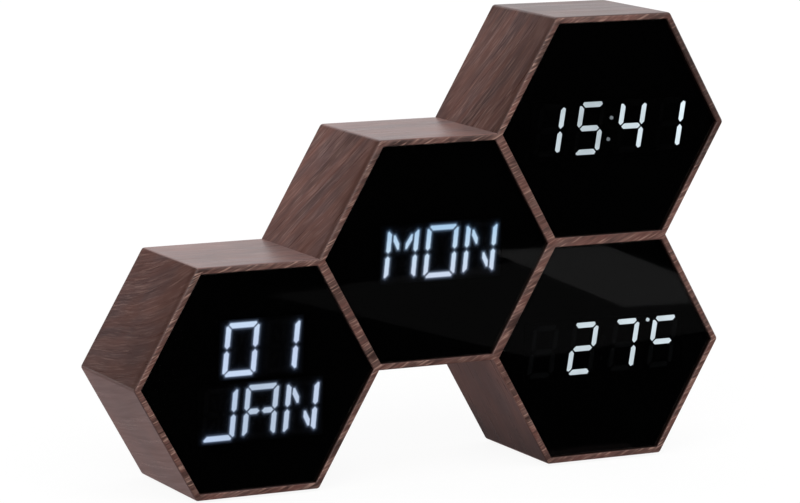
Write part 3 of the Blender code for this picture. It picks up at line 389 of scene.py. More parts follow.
for first, second in WIRE_WALLS:
    aim = CENTRES[second] - CENTRES[first]
    middle = (CENTRES[first] + CENTRES[second]) / 2
    deselect()
    bpy.ops.mesh.primitive_cylinder_add(vertices=32, radius=WIRE_HOLE_RADIUS, depth=WIRE_DRILL_LENGTH,
                                        location=(middle.x, FRONT + WIRE_HOLE_DEPTH, middle.z),
                                        rotation=aim.to_track_quat("Z", "Y").to_euler())
    combine(case, bpy.context.object, "DIFFERENCE")
clean_flats(case)


def panel_of(face):
    """The cell and the bearing of the panel that a face of the case belongs to."""
    cell = min(CELLS, key=lambda name: (face.center.xz - CENTRES[name].xz).length)
    bearing = math.degrees(math.atan2(face.normal.z, face.normal.x))
    return cell, round((bearing - 30) / 60) * 60 + 30


PANEL_RUN = CELL_PITCH / 2 / COS_30
grain_map = case.data.uv_layers.new(name="grain")
grain = {trait: [] for trait in (*TRAITS, "shift")}
for face in case.data.polygons:
    if abs(face.normal.y) > 0.7:
        face.material_index = 1
        run = Vector((1, 0, 0))
        deep = Vector((0, 0, 1))
        start = Vector((0, 0, 0))
        shift = 0
        turn, *traits = RIM_GRAIN
    else:
        cell, bearing = panel_of(face)
        outwards = math.radians(bearing)
        run = Vector((math.sin(outwards), 0, -math.cos(outwards)))
        deep = Vector((0, -1, 0))
        start = Vector((CENTRES[cell].x, FRONT + GRAIN_START, CENTRES[cell].z))
        shift = CELLS.index(cell) * CELL_SHIFT + bearing / 360 * ROUND_SHIFT
        turn, *traits = GRAIN.get((cell, bearing), PLAIN_GRAIN)
    lean = math.radians(turn)
    along = run * math.cos(lean) + deep * math.sin(lean)
    across = deep * math.cos(lean) - run * math.sin(lean)
    for corner in face.loop_indices:
        place = case.data.vertices[case.data.loops[corner].vertex_index].co - start
        grain_map.data[corner].uv = (place.dot(along), place.dot(across))
        climb = place.dot(run) / PANEL_RUN + 0.5
        for trait, ends in zip(TRAITS, traits):
            lower, upper = ends if isinstance(ends, tuple) else (ends, ends)
            grain[trait].append(lower + (upper - lower) * climb)
        grain["shift"].append(shift)
for trait, numbers in grain.items():
    case.data.attributes.new(trait, "FLOAT", "CORNER").data.foreach_set("value", numbers)

# Lengths and widths of the marks in the wood
BAND = (0.10, 0.012)
STREAK = (0.040, 0.0018)
RING_BAND = (0.12, 0.0065)
HAIR_LENGTH = 0.010
OTHER_HAIR_LENGTH = 0.014
LAYER_DEPTH = 0.025
WANDER_LENGTH = 0.0385
WANDER_REACH = 0.0018
BOW_OFFSET = 0.025
PATCH_SIZE = 0.0238
CLOUD_SIZE = 0.0294
# Between these depths behind the front, and these distances from the dark corner, the wood changes
NEAR_EDGE = (0.0030, 0.0070)
FAR_EDGE = (0.0060, 0.0400)
CORNER_DARKENING_REACH = (0.022, 0.055)
DARK_CORNER = (0.135, FRONT, 0.168)


def veneer(name, dark, middle, red, light, hair_width, corner_darkening):
    """Walnut veneer, sliced, sanded and sealed satin: purple-brown and red-brown bands under fine lines.

    The hair lines are as fine as the picture shows. The wood gets darker towards the dark corner.
    """
    material, tree = empty_material(name)
    flat = node(tree, "UVMap", uv_map="grain")
    given = {trait: node(tree, "Attribute", attribute_name=trait).outputs["Fac"] for trait in grain}
    parts = node(tree, "SeparateXYZ", {0: flat})
    wander = node(tree, "TexNoise", {"Vector": flat, "Scale": 1 / WANDER_LENGTH, "Detail": 1.0},
                  noise_dimensions="2D")
    wave = node(tree, "Math", {0: wander, 1: 2 * WANDER_REACH, 2: -WANDER_REACH}, operation="MULTIPLY_ADD")
    reach = node(tree, "Math", {0: parts, 1: BOW_OFFSET}, operation="ADD")
    square = node(tree, "Math", {0: reach, 1: reach}, operation="MULTIPLY")
    bend = node(tree, "Math", {0: square, 1: given["bow"], 2: parts.outputs[1]}, operation="MULTIPLY_ADD")
    across = node(tree, "Math", {0: bend, 1: wave}, operation="ADD")
    place = node(tree, "CombineXYZ", {0: parts, 1: across, 2: given["shift"]})

    def lines(length, width, detail):
        """Noise drawn out along the grain, for marks of this length and width."""
        drawn = node(tree, "Mapping", {"Vector": place, "Scale": (1 / length, 1 / width, 1 / LAYER_DEPTH)})
        return node(tree, "TexNoise", {"Vector": drawn, "Scale": 1.0, "Detail": detail})

    bands = lines(*BAND, 1.0)
    streaks = lines(*STREAK, 2.0)
    hairs = lines(HAIR_LENGTH, hair_width, 1.0)
    other_hairs = lines(OTHER_HAIR_LENGTH, hair_width * 1.4, 2.0)
    turns = node(tree, "Math", {0: lines(*RING_BAND, 1.0), 1: 70.0}, operation="MULTIPLY")
    rings = node(tree, "Math", {0: turns}, operation="SINE")
    patches = node(tree, "TexNoise", {"Vector": place, "Scale": 1 / PATCH_SIZE, "Detail": 2.0})
    ramp = node(tree, "ValToRGB", {0: bands},
                stops=[(0.34, dark), (0.46, middle), (0.56, red), (0.66, middle)])
    banding = node(tree, "Math", {0: given["figure"], 1: 0.55, 2: 0.2}, operation="MULTIPLY_ADD")
    ground = node(tree, "Mix", {0: banding, 6: linear(middle), 7: ramp}, data_type="RGBA")
    warm = node(tree, "MapRange", {"Value": patches, "From Min": 0.40, "From Max": 0.62,
                                   "To Max": given["warmth"]})
    wood = node(tree, "Mix", {0: warm, 6: ground.outputs[2], 7: linear(red)}, data_type="RGBA")
    for marks, low, high, strength, colour in (
            (streaks, 0.50, 0.34, 0.14, dark), (streaks, 0.58, 0.76, 0.14, light),
            (rings, 0.7, 1.0, 0.16, light), (rings, -0.7, -1.0, 0.12, dark),
            (other_hairs, 0.48, 0.34, 0.40, dark), (hairs, 0.57, 0.68, 0.52, light)):
        mask = node(tree, "MapRange", {"Value": marks, "From Min": low, "From Max": high})
        share = node(tree, "Math", {0: mask, 1: strength}, operation="MULTIPLY")
        figured = node(tree, "Math", {0: share, 1: given["figure"]}, operation="MULTIPLY")
        wood = node(tree, "Mix", {0: figured, 6: wood.outputs[2], 7: linear(colour)}, data_type="RGBA")
    cloud = node(tree, "TexNoise", {"Vector": place, "Scale": 1 / CLOUD_SIZE, "Detail": 1.0})
    clouding = node(tree, "MapRange", {"Value": cloud, "From Min": 0.3, "From Max": 0.7,
                                       "To Min": 0.84, "To Max": 1.14})
    spot = node(tree, "TexCoord").outputs["Object"]
    away = node(tree, "VectorMath", {0: spot, 1: DARK_CORNER}, operation="DISTANCE").outputs["Value"]
    corner_darkened = node(tree, "MapRange", {"Value": away, "From Min": CORNER_DARKENING_REACH[0], "From Max": CORNER_DARKENING_REACH[1],
                                      "To Min": 1 - corner_darkening, "To Max": 1.0})
    cloudy = node(tree, "Math", {0: clouding, 1: corner_darkened}, operation="MULTIPLY")
    # The tone attribute carries painted light and shade: lighter tops, and a darker lower end on the
    # temperature cell's lower left panel
    lightness = node(tree, "Math", {0: cloudy, 1: given["tone_and_painted_shade"]}, operation="MULTIPLY")
    toned = node(tree, "VectorMath", {0: wood.outputs[2], "Scale": lightness}, operation="SCALE")
    depth = node(tree, "SeparateXYZ", {0: spot}).outputs[1]
    edges = [node(tree, "MapRange", {"Value": depth, "From Min": FRONT + near, "From Max": FRONT + far,
                                     "To Min": most, "To Max": 0.0})
             for (near, far), most in ((NEAR_EDGE, 0.9), (FAR_EDGE, 0.5))]
    front_edge = node(tree, "Math", {0: edges[0], 1: edges[1]}, operation="MAXIMUM")
    edge_share = node(tree, "Math", {0: front_edge, 1: given["band"]}, operation="MULTIPLY")
    banded = node(tree, "Mix", {0: edge_share, 6: toned, 7: linear("3E241C")}, data_type="RGBA")
    height = node(tree, "Bump", {"Height": hairs, "Strength": 0.12, "Distance": 0.0002})
    gloss = node(tree, "MapRange", {"Value": streaks, "From Min": 0.3, "From Max": 0.7,
                                    "To Min": 0.26, "To Max": 0.36})
    return surface(material, "BsdfPrincipled", {"Base Color": banded.outputs[2], "Roughness": gloss,
                                                "Specular IOR Level": 0.28, "Normal": height})


case.data.materials.append(veneer("walnut_veneer_sealed_satin", "2E2221", "4A3938", "5A3C35", "90756C",
                                  hair_width=0.00045, corner_darkening=0.0))
case.data.materials.append(veneer("walnut_veneer_front_strip", "2E1E1B", "5A423D", "634039", "9A7A6E",
                                  hair_width=0.0008, corner_darkening=0.5))
shade_crisp(case, 35)
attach(case, "clock")
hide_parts("wood_case")

# Lenses
# Smoked acrylic sheet, laser-cut, with polished edges, laid on the flange of the frame behind it. It lets
# about a quarter of the light through.

LENS_FACE_COVER = 0.5
LENS_EDGE_BREAK = 0.00022
WIPE_SIZE = 0.033


def smoked_acrylic():
    """Cast acrylic, tinted black: mirror-smooth, and each of its two faces holds back half the light."""
    material, tree = empty_material("smoked_acrylic_sheet")
    spot = node(tree, "TexCoord").outputs["Object"]
    wipe = node(tree, "TexNoise", {"Vector": spot, "Scale": 1 / WIPE_SIZE, "Detail": 3.0})
    gloss = node(tree, "MapRange", {"Value": wipe, "To Min": 0.015, "To Max": 0.035})
    return surface(material, "BsdfPrincipled", {"Base Color": linear("010101"), "Roughness": gloss,
                                                "IOR": 1.49, "Specular IOR Level": 0.25,
                                                "Alpha": LENS_FACE_COVER})


lens_material = smoked_acrylic()
for cell in CELLS:
    low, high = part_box("lens_" + cell)
    lens = hexagonal_bar("front_lens_" + cell, CENTRES[cell], (high.z - low.z) / 2, low.y, high.y)
    round_edges(lens, LENS_EDGE_BREAK, 2)
    shade_crisp(lens, 50)
    lens.data.materials.append(lens_material)
    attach(lens, "clock")
    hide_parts("lens_" + cell)

# Numerals of the time and the temperature
# One opal polystyrene light guide each, whose raised bars fill the slots of the black mask. The bars
# in use are lit from behind, and the others show as faint grey shapes through the lens.

NUMERAL_COLUMN = 0.0109
NUMERAL_ROW = 0.0106
NUMERAL_BAR = 0.0023
NUMERAL_GAP = 0.0006
NUMERAL_TIP = 0.0011
NUMERAL_SLANT = math.radians(8.6)
NUMERAL_PITCH = 0.0204
COLON_SPACE = 0.0010
COLON_HEIGHT = 0.0048
COLON_DROP = 0.0006
POINT_SHIFT = 0.0007
DOT_RADIUS = 0.0008
GUIDE_BASE = 0.0010
BAR_ROOT_GAP = 0.00002
BAR_EDGE = 0.00012
DIODE_REACH = 0.00625


def outer_bars(column, row, bar, gap, tip):
    """The six outer bars of a character, mitred where they meet, with points halfway up.

    In order: top a, bottom d, upper right b, lower right c, upper left f, lower left e.
    """
    half = column / 2
    t = bar / 2
    end = half + t - gap - tip
    high = row + t - gap - tip
    top = [(half - t - gap, row - t), (end, row + t - tip), (end - tip / 2, row + t)]
    top += [(-x, z) for x, z in reversed(top)]
    side = [(half - t, gap + t), (half, gap), (half + t, gap + t), (half + t, high - tip / 2),
            (half + t - tip, high), (half - t, row - t - gap)]
    bars = {"a": top, "d": [(x, -z) for x, z in top]}
    for letter, across, up in (("b", 1, 1), ("c", 1, -1), ("f", -1, 1), ("e", -1, -1)):
        bars[letter] = [(x * across, z * up) for x, z in side]
    return bars


def level_bar(start, end, bar):
    """A level bar with a point at each end."""
    t = bar / 2
    return [(start, 0), (start + t, -t), (end - t, -t), (end, 0), (end - t, t), (start + t, t)]


def seven_bars():
    end = NUMERAL_COLUMN / 2 - NUMERAL_GAP
    bars = outer_bars(NUMERAL_COLUMN, NUMERAL_ROW, NUMERAL_BAR, NUMERAL_GAP, NUMERAL_TIP)
    bars["g"] = level_bar(-end, end, NUMERAL_BAR)
    return bars


def laid(points, slant, place):
    """An outline leaned over by the slant and moved to its place in the cell."""
    return [(x + z * math.tan(slant) + place[0], z + place[1]) for x, z in points]


def polar(place, reach, bearing):
    angle = math.radians(bearing)
    return place[0] + reach * math.cos(angle), place[1] + reach * math.sin(angle)


def ring(radius, place, sides=24):
    return [polar(place, radius, 360 * side / sides) for side in range(sides)]


def rectangle(low, high):
    return [(low.x, low.z), (high.x, low.z), (high.x, high.z), (low.x, high.z)]


def middle_of(node_name):
    low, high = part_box(node_name)
    return (low.x + high.x) / 2, (low.z + high.z) / 2


def prism(name, outline, front, back):
    """A straight bar with this outline, between two depths."""
    mesh = bpy.data.meshes.new(name)
    mesh.from_pydata([(x, front, z) for x, z in outline], [], [list(range(len(outline)))])
    piece = put_in_scene(name, mesh)
    edit(piece, "faces")
    bpy.ops.mesh.extrude_region_move(TRANSFORM_OT_translate={"value": (0, back - front, 0)})
    face_outwards()
    return piece


def opal(name, colour, strength, base):
    """Opal polystyrene, moulded: a smooth satin skin, and light that is a little stronger over a diode."""
    material, tree = empty_material(name)
    spot = node(tree, "TexCoord").outputs["Object"]
    cloud = node(tree, "TexNoise", {"Vector": spot, "Scale": 1 / DIODE_REACH, "Detail": 1.0})
    level = node(tree, "MapRange", {"Value": cloud, "From Min": 0.3, "From Max": 0.7,
                                    "To Min": 0.90 * strength, "To Max": 1.06 * strength})
    glow = node(tree, "Attribute", attribute_name="glow").outputs["Fac"]
    power = node(tree, "Math", {0: level, 1: glow}, operation="MULTIPLY")
    return surface(material, "BsdfPrincipled", {"Base Color": linear(base), "Roughness": 0.5,
                                                "Specular IOR Level": 0.1, "Emission Color": linear(colour),
                                                "Emission Strength": power})


def make_glow(piece, level):
    """Sets how brightly a piece of a light guide shines."""
    glow = piece.data.attributes.new("glow", "FLOAT", "POINT")
    glow.data.foreach_set("value", [level] * len(piece.data.vertices))


guide_material = opal("opal_polystyrene", "DCEAF2", strength=3.0, base="141516")


def numeral_guide(cell, shown_bars, levels, colon, point, stray):
    """The light guide behind one numeral display: its base sheet and every raised bar.

    Levels, colon and point say how brightly these shine. Stray light reaches the bars that aren't in use.
    """
    low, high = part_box("light_guide_" + cell)
    place = middle_of("mask_" + cell)
    root = high.y - GUIDE_BASE
    middle = (NUMERAL_PITCH + COLON_SPACE) / 2
    centres = (-middle - NUMERAL_PITCH, -middle, middle, middle + NUMERAL_PITCH)
    sheet = prism("sheet", rectangle(low, high), root, high.y)
    make_glow(sheet, 0)
    parts = [sheet]
    for centre, letters, level in zip(centres, shown_bars, levels):
        for letter, outline in seven_bars().items():
            shape = laid([(x + centre, z) for x, z in outline], NUMERAL_SLANT, place)
            bar = prism("bar", shape, low.y, root - BAR_ROOT_GAP)
            round_edges(bar, BAR_EDGE, 2, lambda edge: all(v.co.y < low.y + BAR_EDGE for v in edge.verts))
            make_glow(bar, level if letter in letters else stray)
            parts.append(bar)
    dots = [((0, COLON_HEIGHT - COLON_DROP), colon), ((0, -COLON_HEIGHT - COLON_DROP), colon),
            ((middle + NUMERAL_PITCH / 2 + POINT_SHIFT, NUMERAL_ROW), point)]
    for dot, level in dots:
        outline = ring(DOT_RADIUS, laid([dot], NUMERAL_SLANT, place)[0])
        bar = prism("dot", outline, low.y, root - BAR_ROOT_GAP)
        make_glow(bar, level)
        parts.append(bar)
    guide = joined(parts, "numeral_guide_" + cell)
    guide.data.materials.append(guide_material)
    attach(guide, "clock")
    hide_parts("light_guide_" + cell)


numeral_guide("time", ("bc", "acdfg", "bcfg", "bc"), (1.02, 0.92, 1.2, 1.5),
              colon=0.3, point=0, stray=0)
numeral_guide("temperature", ("", "abdeg", "abc", "afg"), (0, 1.08, 1.17, 1.17),
              colon=0, point=1, stray=0.0015)

# Characters of the date, the month and the day
# A diffusing film lies over the slots of these masks, so their light bars have soft edges and a
# bluish glow round them. The film is printed black between the characters.

LETTER_COLUMN = 0.0134
LETTER_ROW = 0.0105
LETTER_BAR = 0.0027
LETTER_GAP = 0.0003
LETTER_CENTRE_BAR = 0.0018
LETTER_SLANT = math.radians(5.5)
LETTER_PITCH = 0.0195
DIAGONAL_WIDTH = 0.0009
DIAGONAL_RISE = 0.0026
FILM_THICKNESS = 0.0001
FILM_GAP = 0.00005
FILM_STEP = 0.00034
# The light spreads a little past the slots: lit bars are closer together and less cut off at the corners
SPREAD_GAP = 0.0002
SPREAD_TIP = 0.0010
SPREAD_DIAGONAL = 0.0002
# Round a slot the light fades over CORE_FADE, under a glow and a haze that die away over their reach and
# end before the edge of the film
CORE_FADE = 0.00085
GLOW = 0.42
GLOW_REACH = 0.0007
HAZE_REACH = 0.0022
HAZE_EDGE_SHARE = 0.08
GHOST_FADE = 0.0004
CHARACTERS = {"0": "abcdef", "1": "bc", "J": "bcd", "A": ["a", "b", "c", "e", "f", "left", "right"],
              "N": ["b", "c", "e", "f", "upper_left", "lower_right"],
              "M": ["b", "c", "e", "f", "upper_left", "upper_right"], "O": "abcdef"}


def fourteen_bars():
    """The outer bars, two half bars, two centre uprights and four diagonals."""
    bars = outer_bars(LETTER_COLUMN, LETTER_ROW, LETTER_BAR, SPREAD_GAP, SPREAD_TIP)
    half_bar = level_bar(LETTER_GAP, LETTER_COLUMN / 2 - LETTER_GAP, LETTER_BAR)
    low = LETTER_BAR / 2 + 2 * LETTER_GAP
    high = LETTER_ROW - low
    centre = LETTER_CENTRE_BAR / 2
    inner = centre + 2 * LETTER_GAP
    outer = LETTER_COLUMN / 2 - low
    upright = [(-centre, low), (centre, low), (centre, high), (-centre, high)]
    diagonal = [(inner, low), (inner + DIAGONAL_WIDTH, low), (outer, high - DIAGONAL_RISE), (outer, high),
                (outer - DIAGONAL_WIDTH, high), (inner, low + DIAGONAL_RISE)]
    for side, across in (("right", 1), ("left", -1)):
        bars[side] = [(x * across, z) for x, z in half_bar]
        for height, up in (("upper", 1), ("lower", -1)):
            bars[height + "_" + side] = [(x * across, z * up) for x, z in diagonal]
    for height, up in (("upper", 1), ("lower", -1)):
        bars[height] = [(x, z * up) for x, z in upright]
    return bars


def distance_to(outline, points):
    """How far each point lies outside an outline, and below zero inside it."""
    corners = np.array(outline)
    nearest = np.full(len(points), np.inf)
    inside = np.zeros(len(points), bool)
    for start, end in zip(corners, np.roll(corners, -1, axis=0)):
        side = end - start
        offset = points - start
        share = np.clip(offset @ side / (side @ side), 0, 1)
        nearest = np.minimum(nearest, np.linalg.norm(offset - share[:, None] * side, axis=1))
        if side[1]:
            crossing = (start[1] > points[:, 1]) != (end[1] > points[:, 1])
            inside ^= crossing & (offset[:, 0] < side[0] * offset[:, 1] / side[1])
    return np.where(inside, -nearest, nearest)


def lit_film(name, low_hue, middle_hue, high_hue):
    """Black-printed diffusing film, clear over the slots: the lit bars are cool white and glow softly."""
    material, tree = empty_material("diffusing_film_printed_black_" + name)
    light, tint, ghost = [node(tree, "Attribute", attribute_name=given).outputs["Fac"]
                          for given in ("light", "tint", "ghost")]
    hue = node(tree, "ValToRGB", {0: tint}, stops=[(0.1, low_hue), (0.5, middle_hue), (0.9, high_hue)])
    shade = node(tree, "ValToRGB", {0: light},
                 stops=[(0.0, "000000"), (0.12, "14161A"), (0.4, "565C66"), (0.8, "F2F4F8")])
    colour = node(tree, "Mix", {0: 1.0, 6: shade, 7: hue}, data_type="RGBA", blend_type="MULTIPLY")
    base = node(tree, "Mix", {0: ghost, 6: linear("040405"), 7: linear("1C1D20")}, data_type="RGBA")
    return surface(material, "BsdfPrincipled", {"Base Color": base.outputs[2], "Roughness": 0.6,
                                                "Specular IOR Level": 0.1, "Emission Strength": 4.0,
                                                "Emission Color": colour.outputs[2]})


def character_film(mask, text, across_tint, spill, haze, hues):
    """The film over one row of characters, with how bright each of its points is.

    Its hues run up the film, or from left to right as far as across_tint says. Full light reaches past the
    slots by spill, and a weak haze further out.
    """
    low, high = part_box("mask_" + mask)
    place = middle_of("mask_" + mask)
    back = low.y - FILM_GAP
    across = round((high.x - low.x) / FILM_STEP)
    up = round((high.z - low.z) / FILM_STEP)
    deselect()
    bpy.ops.mesh.primitive_grid_add(x_subdivisions=across, y_subdivisions=up, size=1,
                                    location=(place[0], back - FILM_THICKNESS, place[1]),
                                    rotation=(math.pi / 2, 0, 0))
    film = bpy.context.object
    film.name = "film_" + mask
    film.scale = (high.x - low.x, high.z - low.z, 1)
    bpy.ops.object.transform_apply(location=True, rotation=True, scale=True)
    edit(film, "edges", lambda edge: edge.is_boundary)
    bpy.ops.mesh.extrude_edges_move(TRANSFORM_OT_translate={"value": (0, FILM_THICKNESS, 0)})
    bpy.ops.mesh.edge_face_add()
    face_outwards()
    points = np.empty(len(film.data.vertices) * 3)
    film.data.vertices.foreach_get("co", points)
    points = points.reshape(-1, 3)
    flat = points[:, [0, 2]]
    first = (1 - len(text)) / 2 * LETTER_PITCH
    bright = np.full(len(flat), np.inf)
    dark = np.full(len(flat), np.inf)
    for index, character in enumerate(text):
        for part, outline in fourteen_bars().items():
            shape = laid([(x + first + index * LETTER_PITCH, z) for x, z in outline], LETTER_SLANT, place)
            if part in CHARACTERS[character]:
                spread = SPREAD_DIAGONAL if "er_" in part else 0
                bright = np.minimum(bright, distance_to(shape, flat) - spread)
            else:
                dark = np.minimum(dark, distance_to(shape, flat))
    core = np.clip((spill - bright) / CORE_FADE, 0, 1)
    outside = np.maximum(bright, 0)
    rise = (points[:, 2] - low.z) / (high.z - low.z)
    along = (points[:, 0] - low.x) / (high.x - low.x)
    inwards = 0.5 - np.maximum(np.abs(rise - 0.5), np.abs(along - 0.5))
    hazy = haze * np.exp(-outside / HAZE_REACH) * np.clip(inwards / HAZE_EDGE_SHARE, 0, 1)
    glow = GLOW * np.exp(-outside / GLOW_REACH) + hazy
    values = {"light": np.maximum(core, glow), "tint": rise + (along - rise) * across_tint,
              "ghost": np.clip(-dark / GHOST_FADE, 0, 1)}
    for attribute, numbers in values.items():
        made = film.data.attributes.new(attribute, "FLOAT", "POINT")
        made.data.foreach_set("value", numbers.astype(np.float32))
    film.data.materials.append(lit_film(mask, *hues))
    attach(film, "clock")


character_film("date", "01", across_tint=0.0, spill=0.00030, haze=0.06,
               hues=("D2E2FA", "CCD9F2", "D2E4FA"))
character_film("month", "JAN", across_tint=1.0, spill=0.00028, haze=0.04,
               hues=("C6D8F2", "BBCADC", "CCDAF0"))
character_film("day", "MON", across_tint=0.0, spill=0.00017, haze=0.04,
               hues=("D8E2F4", "D0E6F8", "B4D6F2"))

# Black plastic parts behind the lenses
# The frames that carry the lenses, and the display housings with a slot for each light bar. Both are
# moulded ABS, matt on the side of the lens so that the cells look deep black.

BROAD_SIZE = 0.0167


def moulded_abs(name, colour, roughness, grit, sheen):
    """Moulded ABS: a fine spark-eroded texture, and a satin that varies a little."""
    material, tree = empty_material(name)
    spot = node(tree, "TexCoord").outputs["Object"]
    fine = node(tree, "TexNoise", {"Vector": spot, "Scale": 1 / grit, "Detail": 2.0})
    broad = node(tree, "TexNoise", {"Vector": spot, "Scale": 1 / BROAD_SIZE, "Detail": 2.0})
    rough = node(tree, "MapRange", {"Value": broad, "To Min": roughness - 0.06, "To Max": roughness + 0.06})
    height = node(tree, "Bump", {"Height": fine, "Strength": 0.25, "Distance": 0.0001})
    return surface(material, "BsdfPrincipled", {"Base Color": linear(colour), "Roughness": rough,
                                                "Specular IOR Level": sheen, "Normal": height})


def refinish(names, material):
    for name in names:
        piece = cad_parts[name]
        piece.data.materials.clear()
        piece.data.materials.append(material)


matt_abs = moulded_abs("abs_moulded_matt_black", "060607", roughness=0.6, grit=0.0011, sheen=0.05)
refinish([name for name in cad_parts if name.startswith(("inner_frame_", "mask_"))], matt_abs)
refinish([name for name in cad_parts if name.startswith("diffuser_")], guide_material)

# Rear cover
# One black ABS moulding behind all four cells, let 2 mm into the case. Its holes have broken edges, and
# the four bosses inside are staked over the control board.

COVER_CHAMFER = 0.0004
HOLE_BREAK = 0.0002
CUT_SKIN = 0.0002
SCREW_HOLE_RADIUS = 0.0015
RUNNING_GAP = 0.0003
VENT_HALF_LENGTH = 0.008
VENT_HALF_WIDTH = 0.00075
VENT_PITCH = 0.0030
VENT_COUNT = 3
SOUND_HOLE_RADIUS = 0.0009
SOUND_HOLE_REACH = 0.0032
LUG_BEARINGS = (60, 180, 300)
LUG_HALF_ANGLE = 10
LUG_REACH = 0.0020
UNLOCK_TURN = 40
NOTCH_EXTRA = 3
MARK_DEPTH = 0.00025
MARK_REACH = 0.0162
MARK_DOT = 0.0007
MARK_RING = (0.0009, 0.0013)
MARK_BREAK = 0.00005
BOSS_INSET = 0.0035
BOSS_RADIUS = 0.0025
BOSS_FILLET = 0.0006
BOSS_ROOT = 0.0005
STAKE_PIN_RADIUS = 0.0011
STAKE_HEAD_RADIUS = 0.0020
STAKE_HEAD_ROUND = (0.0006, 0.0005)
BOARD_THICKNESS = 0.0016
BUTTONS = ("set", "down", "up")
BUTTON_RADIUS = 0.0038
INLET_NOSE_RADIUS = 0.0039
CAP_RADIUS = 0.0122

COVER_LOW, COVER_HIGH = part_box("rear_cover")
COVER_BACK = COVER_HIGH.y
COVER_FRONT = COVER_BACK - COVER_THICKNESS
battery_place = middle_of("coin_cell")


def drill(outline, place, front, back, widening):
    """A cutter with this outline, which flares by widening where it comes out of a piece's back."""
    cutter = prism("cutter", outline, front, back - widening)
    flare = widening + CUT_SKIN
    half = (max(x for x, z in outline) - place[0], max(z for x, z in outline) - place[1])
    edit(cutter, "faces", lambda face: face.normal.y > 0.9)
    bpy.ops.mesh.extrude_region_move(TRANSFORM_OT_translate={"value": (0, flare, 0)})
    bpy.ops.transform.resize(value=(1 + flare / half[0], 1, 1 + flare / half[1]),
                             center_override=(place[0], back, place[1]))
    bpy.ops.object.mode_set(mode="OBJECT")
    return cutter


def stadium(half_length, half_width, place, sides=16):
    """A slot outline with round ends."""
    reach = half_length - half_width
    return [polar((place[0] + way * reach, place[1]), half_width, start + 180 * side / sides)
            for way, start in ((1, -90), (-1, 90)) for side in range(sides + 1)]


def keyed_ring(radius, key_radius, key_half_angle, bearings, place, step=3):
    """A circle with sector-shaped notches that reach out to key_radius."""
    points = [(bearing, radius) for bearing in range(0, 360, step)
              if min(abs((bearing - key + 180) % 360 - 180) for key in bearings) > key_half_angle]
    for key in bearings:
        start, end = key - key_half_angle, key + key_half_angle
        arc = [(bearing, key_radius) for bearing in range(start + step, end, step)]
        points += [(start, radius), (start, key_radius), *arc, (end, key_radius), (end, radius)]
    order = sorted((bearing % 360, number, reach) for number, (bearing, reach) in enumerate(points))
    return [polar(place, reach, bearing) for bearing, number, reach in order]


def turned(name, profile, place, sides=48):
    """A piece turned about the depth axis, from a profile of (radius, depth) points."""
    mesh = bpy.data.meshes.new(name)
    mesh.from_pydata([(place[0] + radius, depth, place[1]) for radius, depth in profile],
                     [(index, index + 1) for index in range(len(profile) - 1)], [])
    piece = put_in_scene(name, mesh)
    edit(piece, "verts")
    bpy.ops.mesh.spin(steps=sides, angle=2 * math.pi, center=(place[0], 0, place[1]), axis=(0, 1, 0))
    bpy.ops.mesh.select_all(action="SELECT")
    bpy.ops.mesh.remove_doubles(threshold=SAME_POINT)
    face_outwards()
    return piece


cover = honeycomb("rear_panel", COVER_HIGH.z - CENTRES["time"].z - CELL_PITCH / 2, COVER_FRONT, COVER_BACK)
round_edges(cover, COVER_CHAMFER, 3, lambda edge: all(v.co.y > COVER_FRONT + OVERRUN for v in edge.verts))
screw_nodes = ["cover_screw_" + cell + "_" + side for cell in CELLS for side in ("upper", "lower")]
inlet_place = middle_of("power_inlet_pin")
buzzer_place = middle_of("buzzer")
sound_places = [polar(buzzer_place, SOUND_HOLE_REACH, bearing) for bearing in range(0, 360, 60)]
round_holes = [(SCREW_HOLE_RADIUS, middle_of(name), 24) for name in screw_nodes]
round_holes += [(BUTTON_RADIUS + RUNNING_GAP, middle_of("button_" + name), 48) for name in BUTTONS]
round_holes.append((INLET_NOSE_RADIUS + RUNNING_GAP, inlet_place, 48))
round_holes += [(SOUND_HOLE_RADIUS, place, 24) for place in (buzzer_place, *sound_places)]
holes = [(ring(radius, place, sides), place) for radius, place, sides in round_holes]
vent = middle_of("temperature_sensor")
for row in range(VENT_COUNT):
    place = (vent[0], vent[1] + row * VENT_PITCH)
    holes.append((stadium(VENT_HALF_LENGTH, VENT_HALF_WIDTH, place), place))
notches = [bearing - UNLOCK_TURN for bearing in LUG_BEARINGS]
cap_hole = CAP_RADIUS + RUNNING_GAP
notch_half_angle = LUG_HALF_ANGLE + NOTCH_EXTRA
outline = keyed_ring(cap_hole, cap_hole + LUG_REACH, notch_half_angle, notches, battery_place)
holes.append((outline, battery_place))
cutters = [drill(outline, place, COVER_FRONT - OVERRUN, COVER_BACK, HOLE_BREAK) for outline, place in holes]
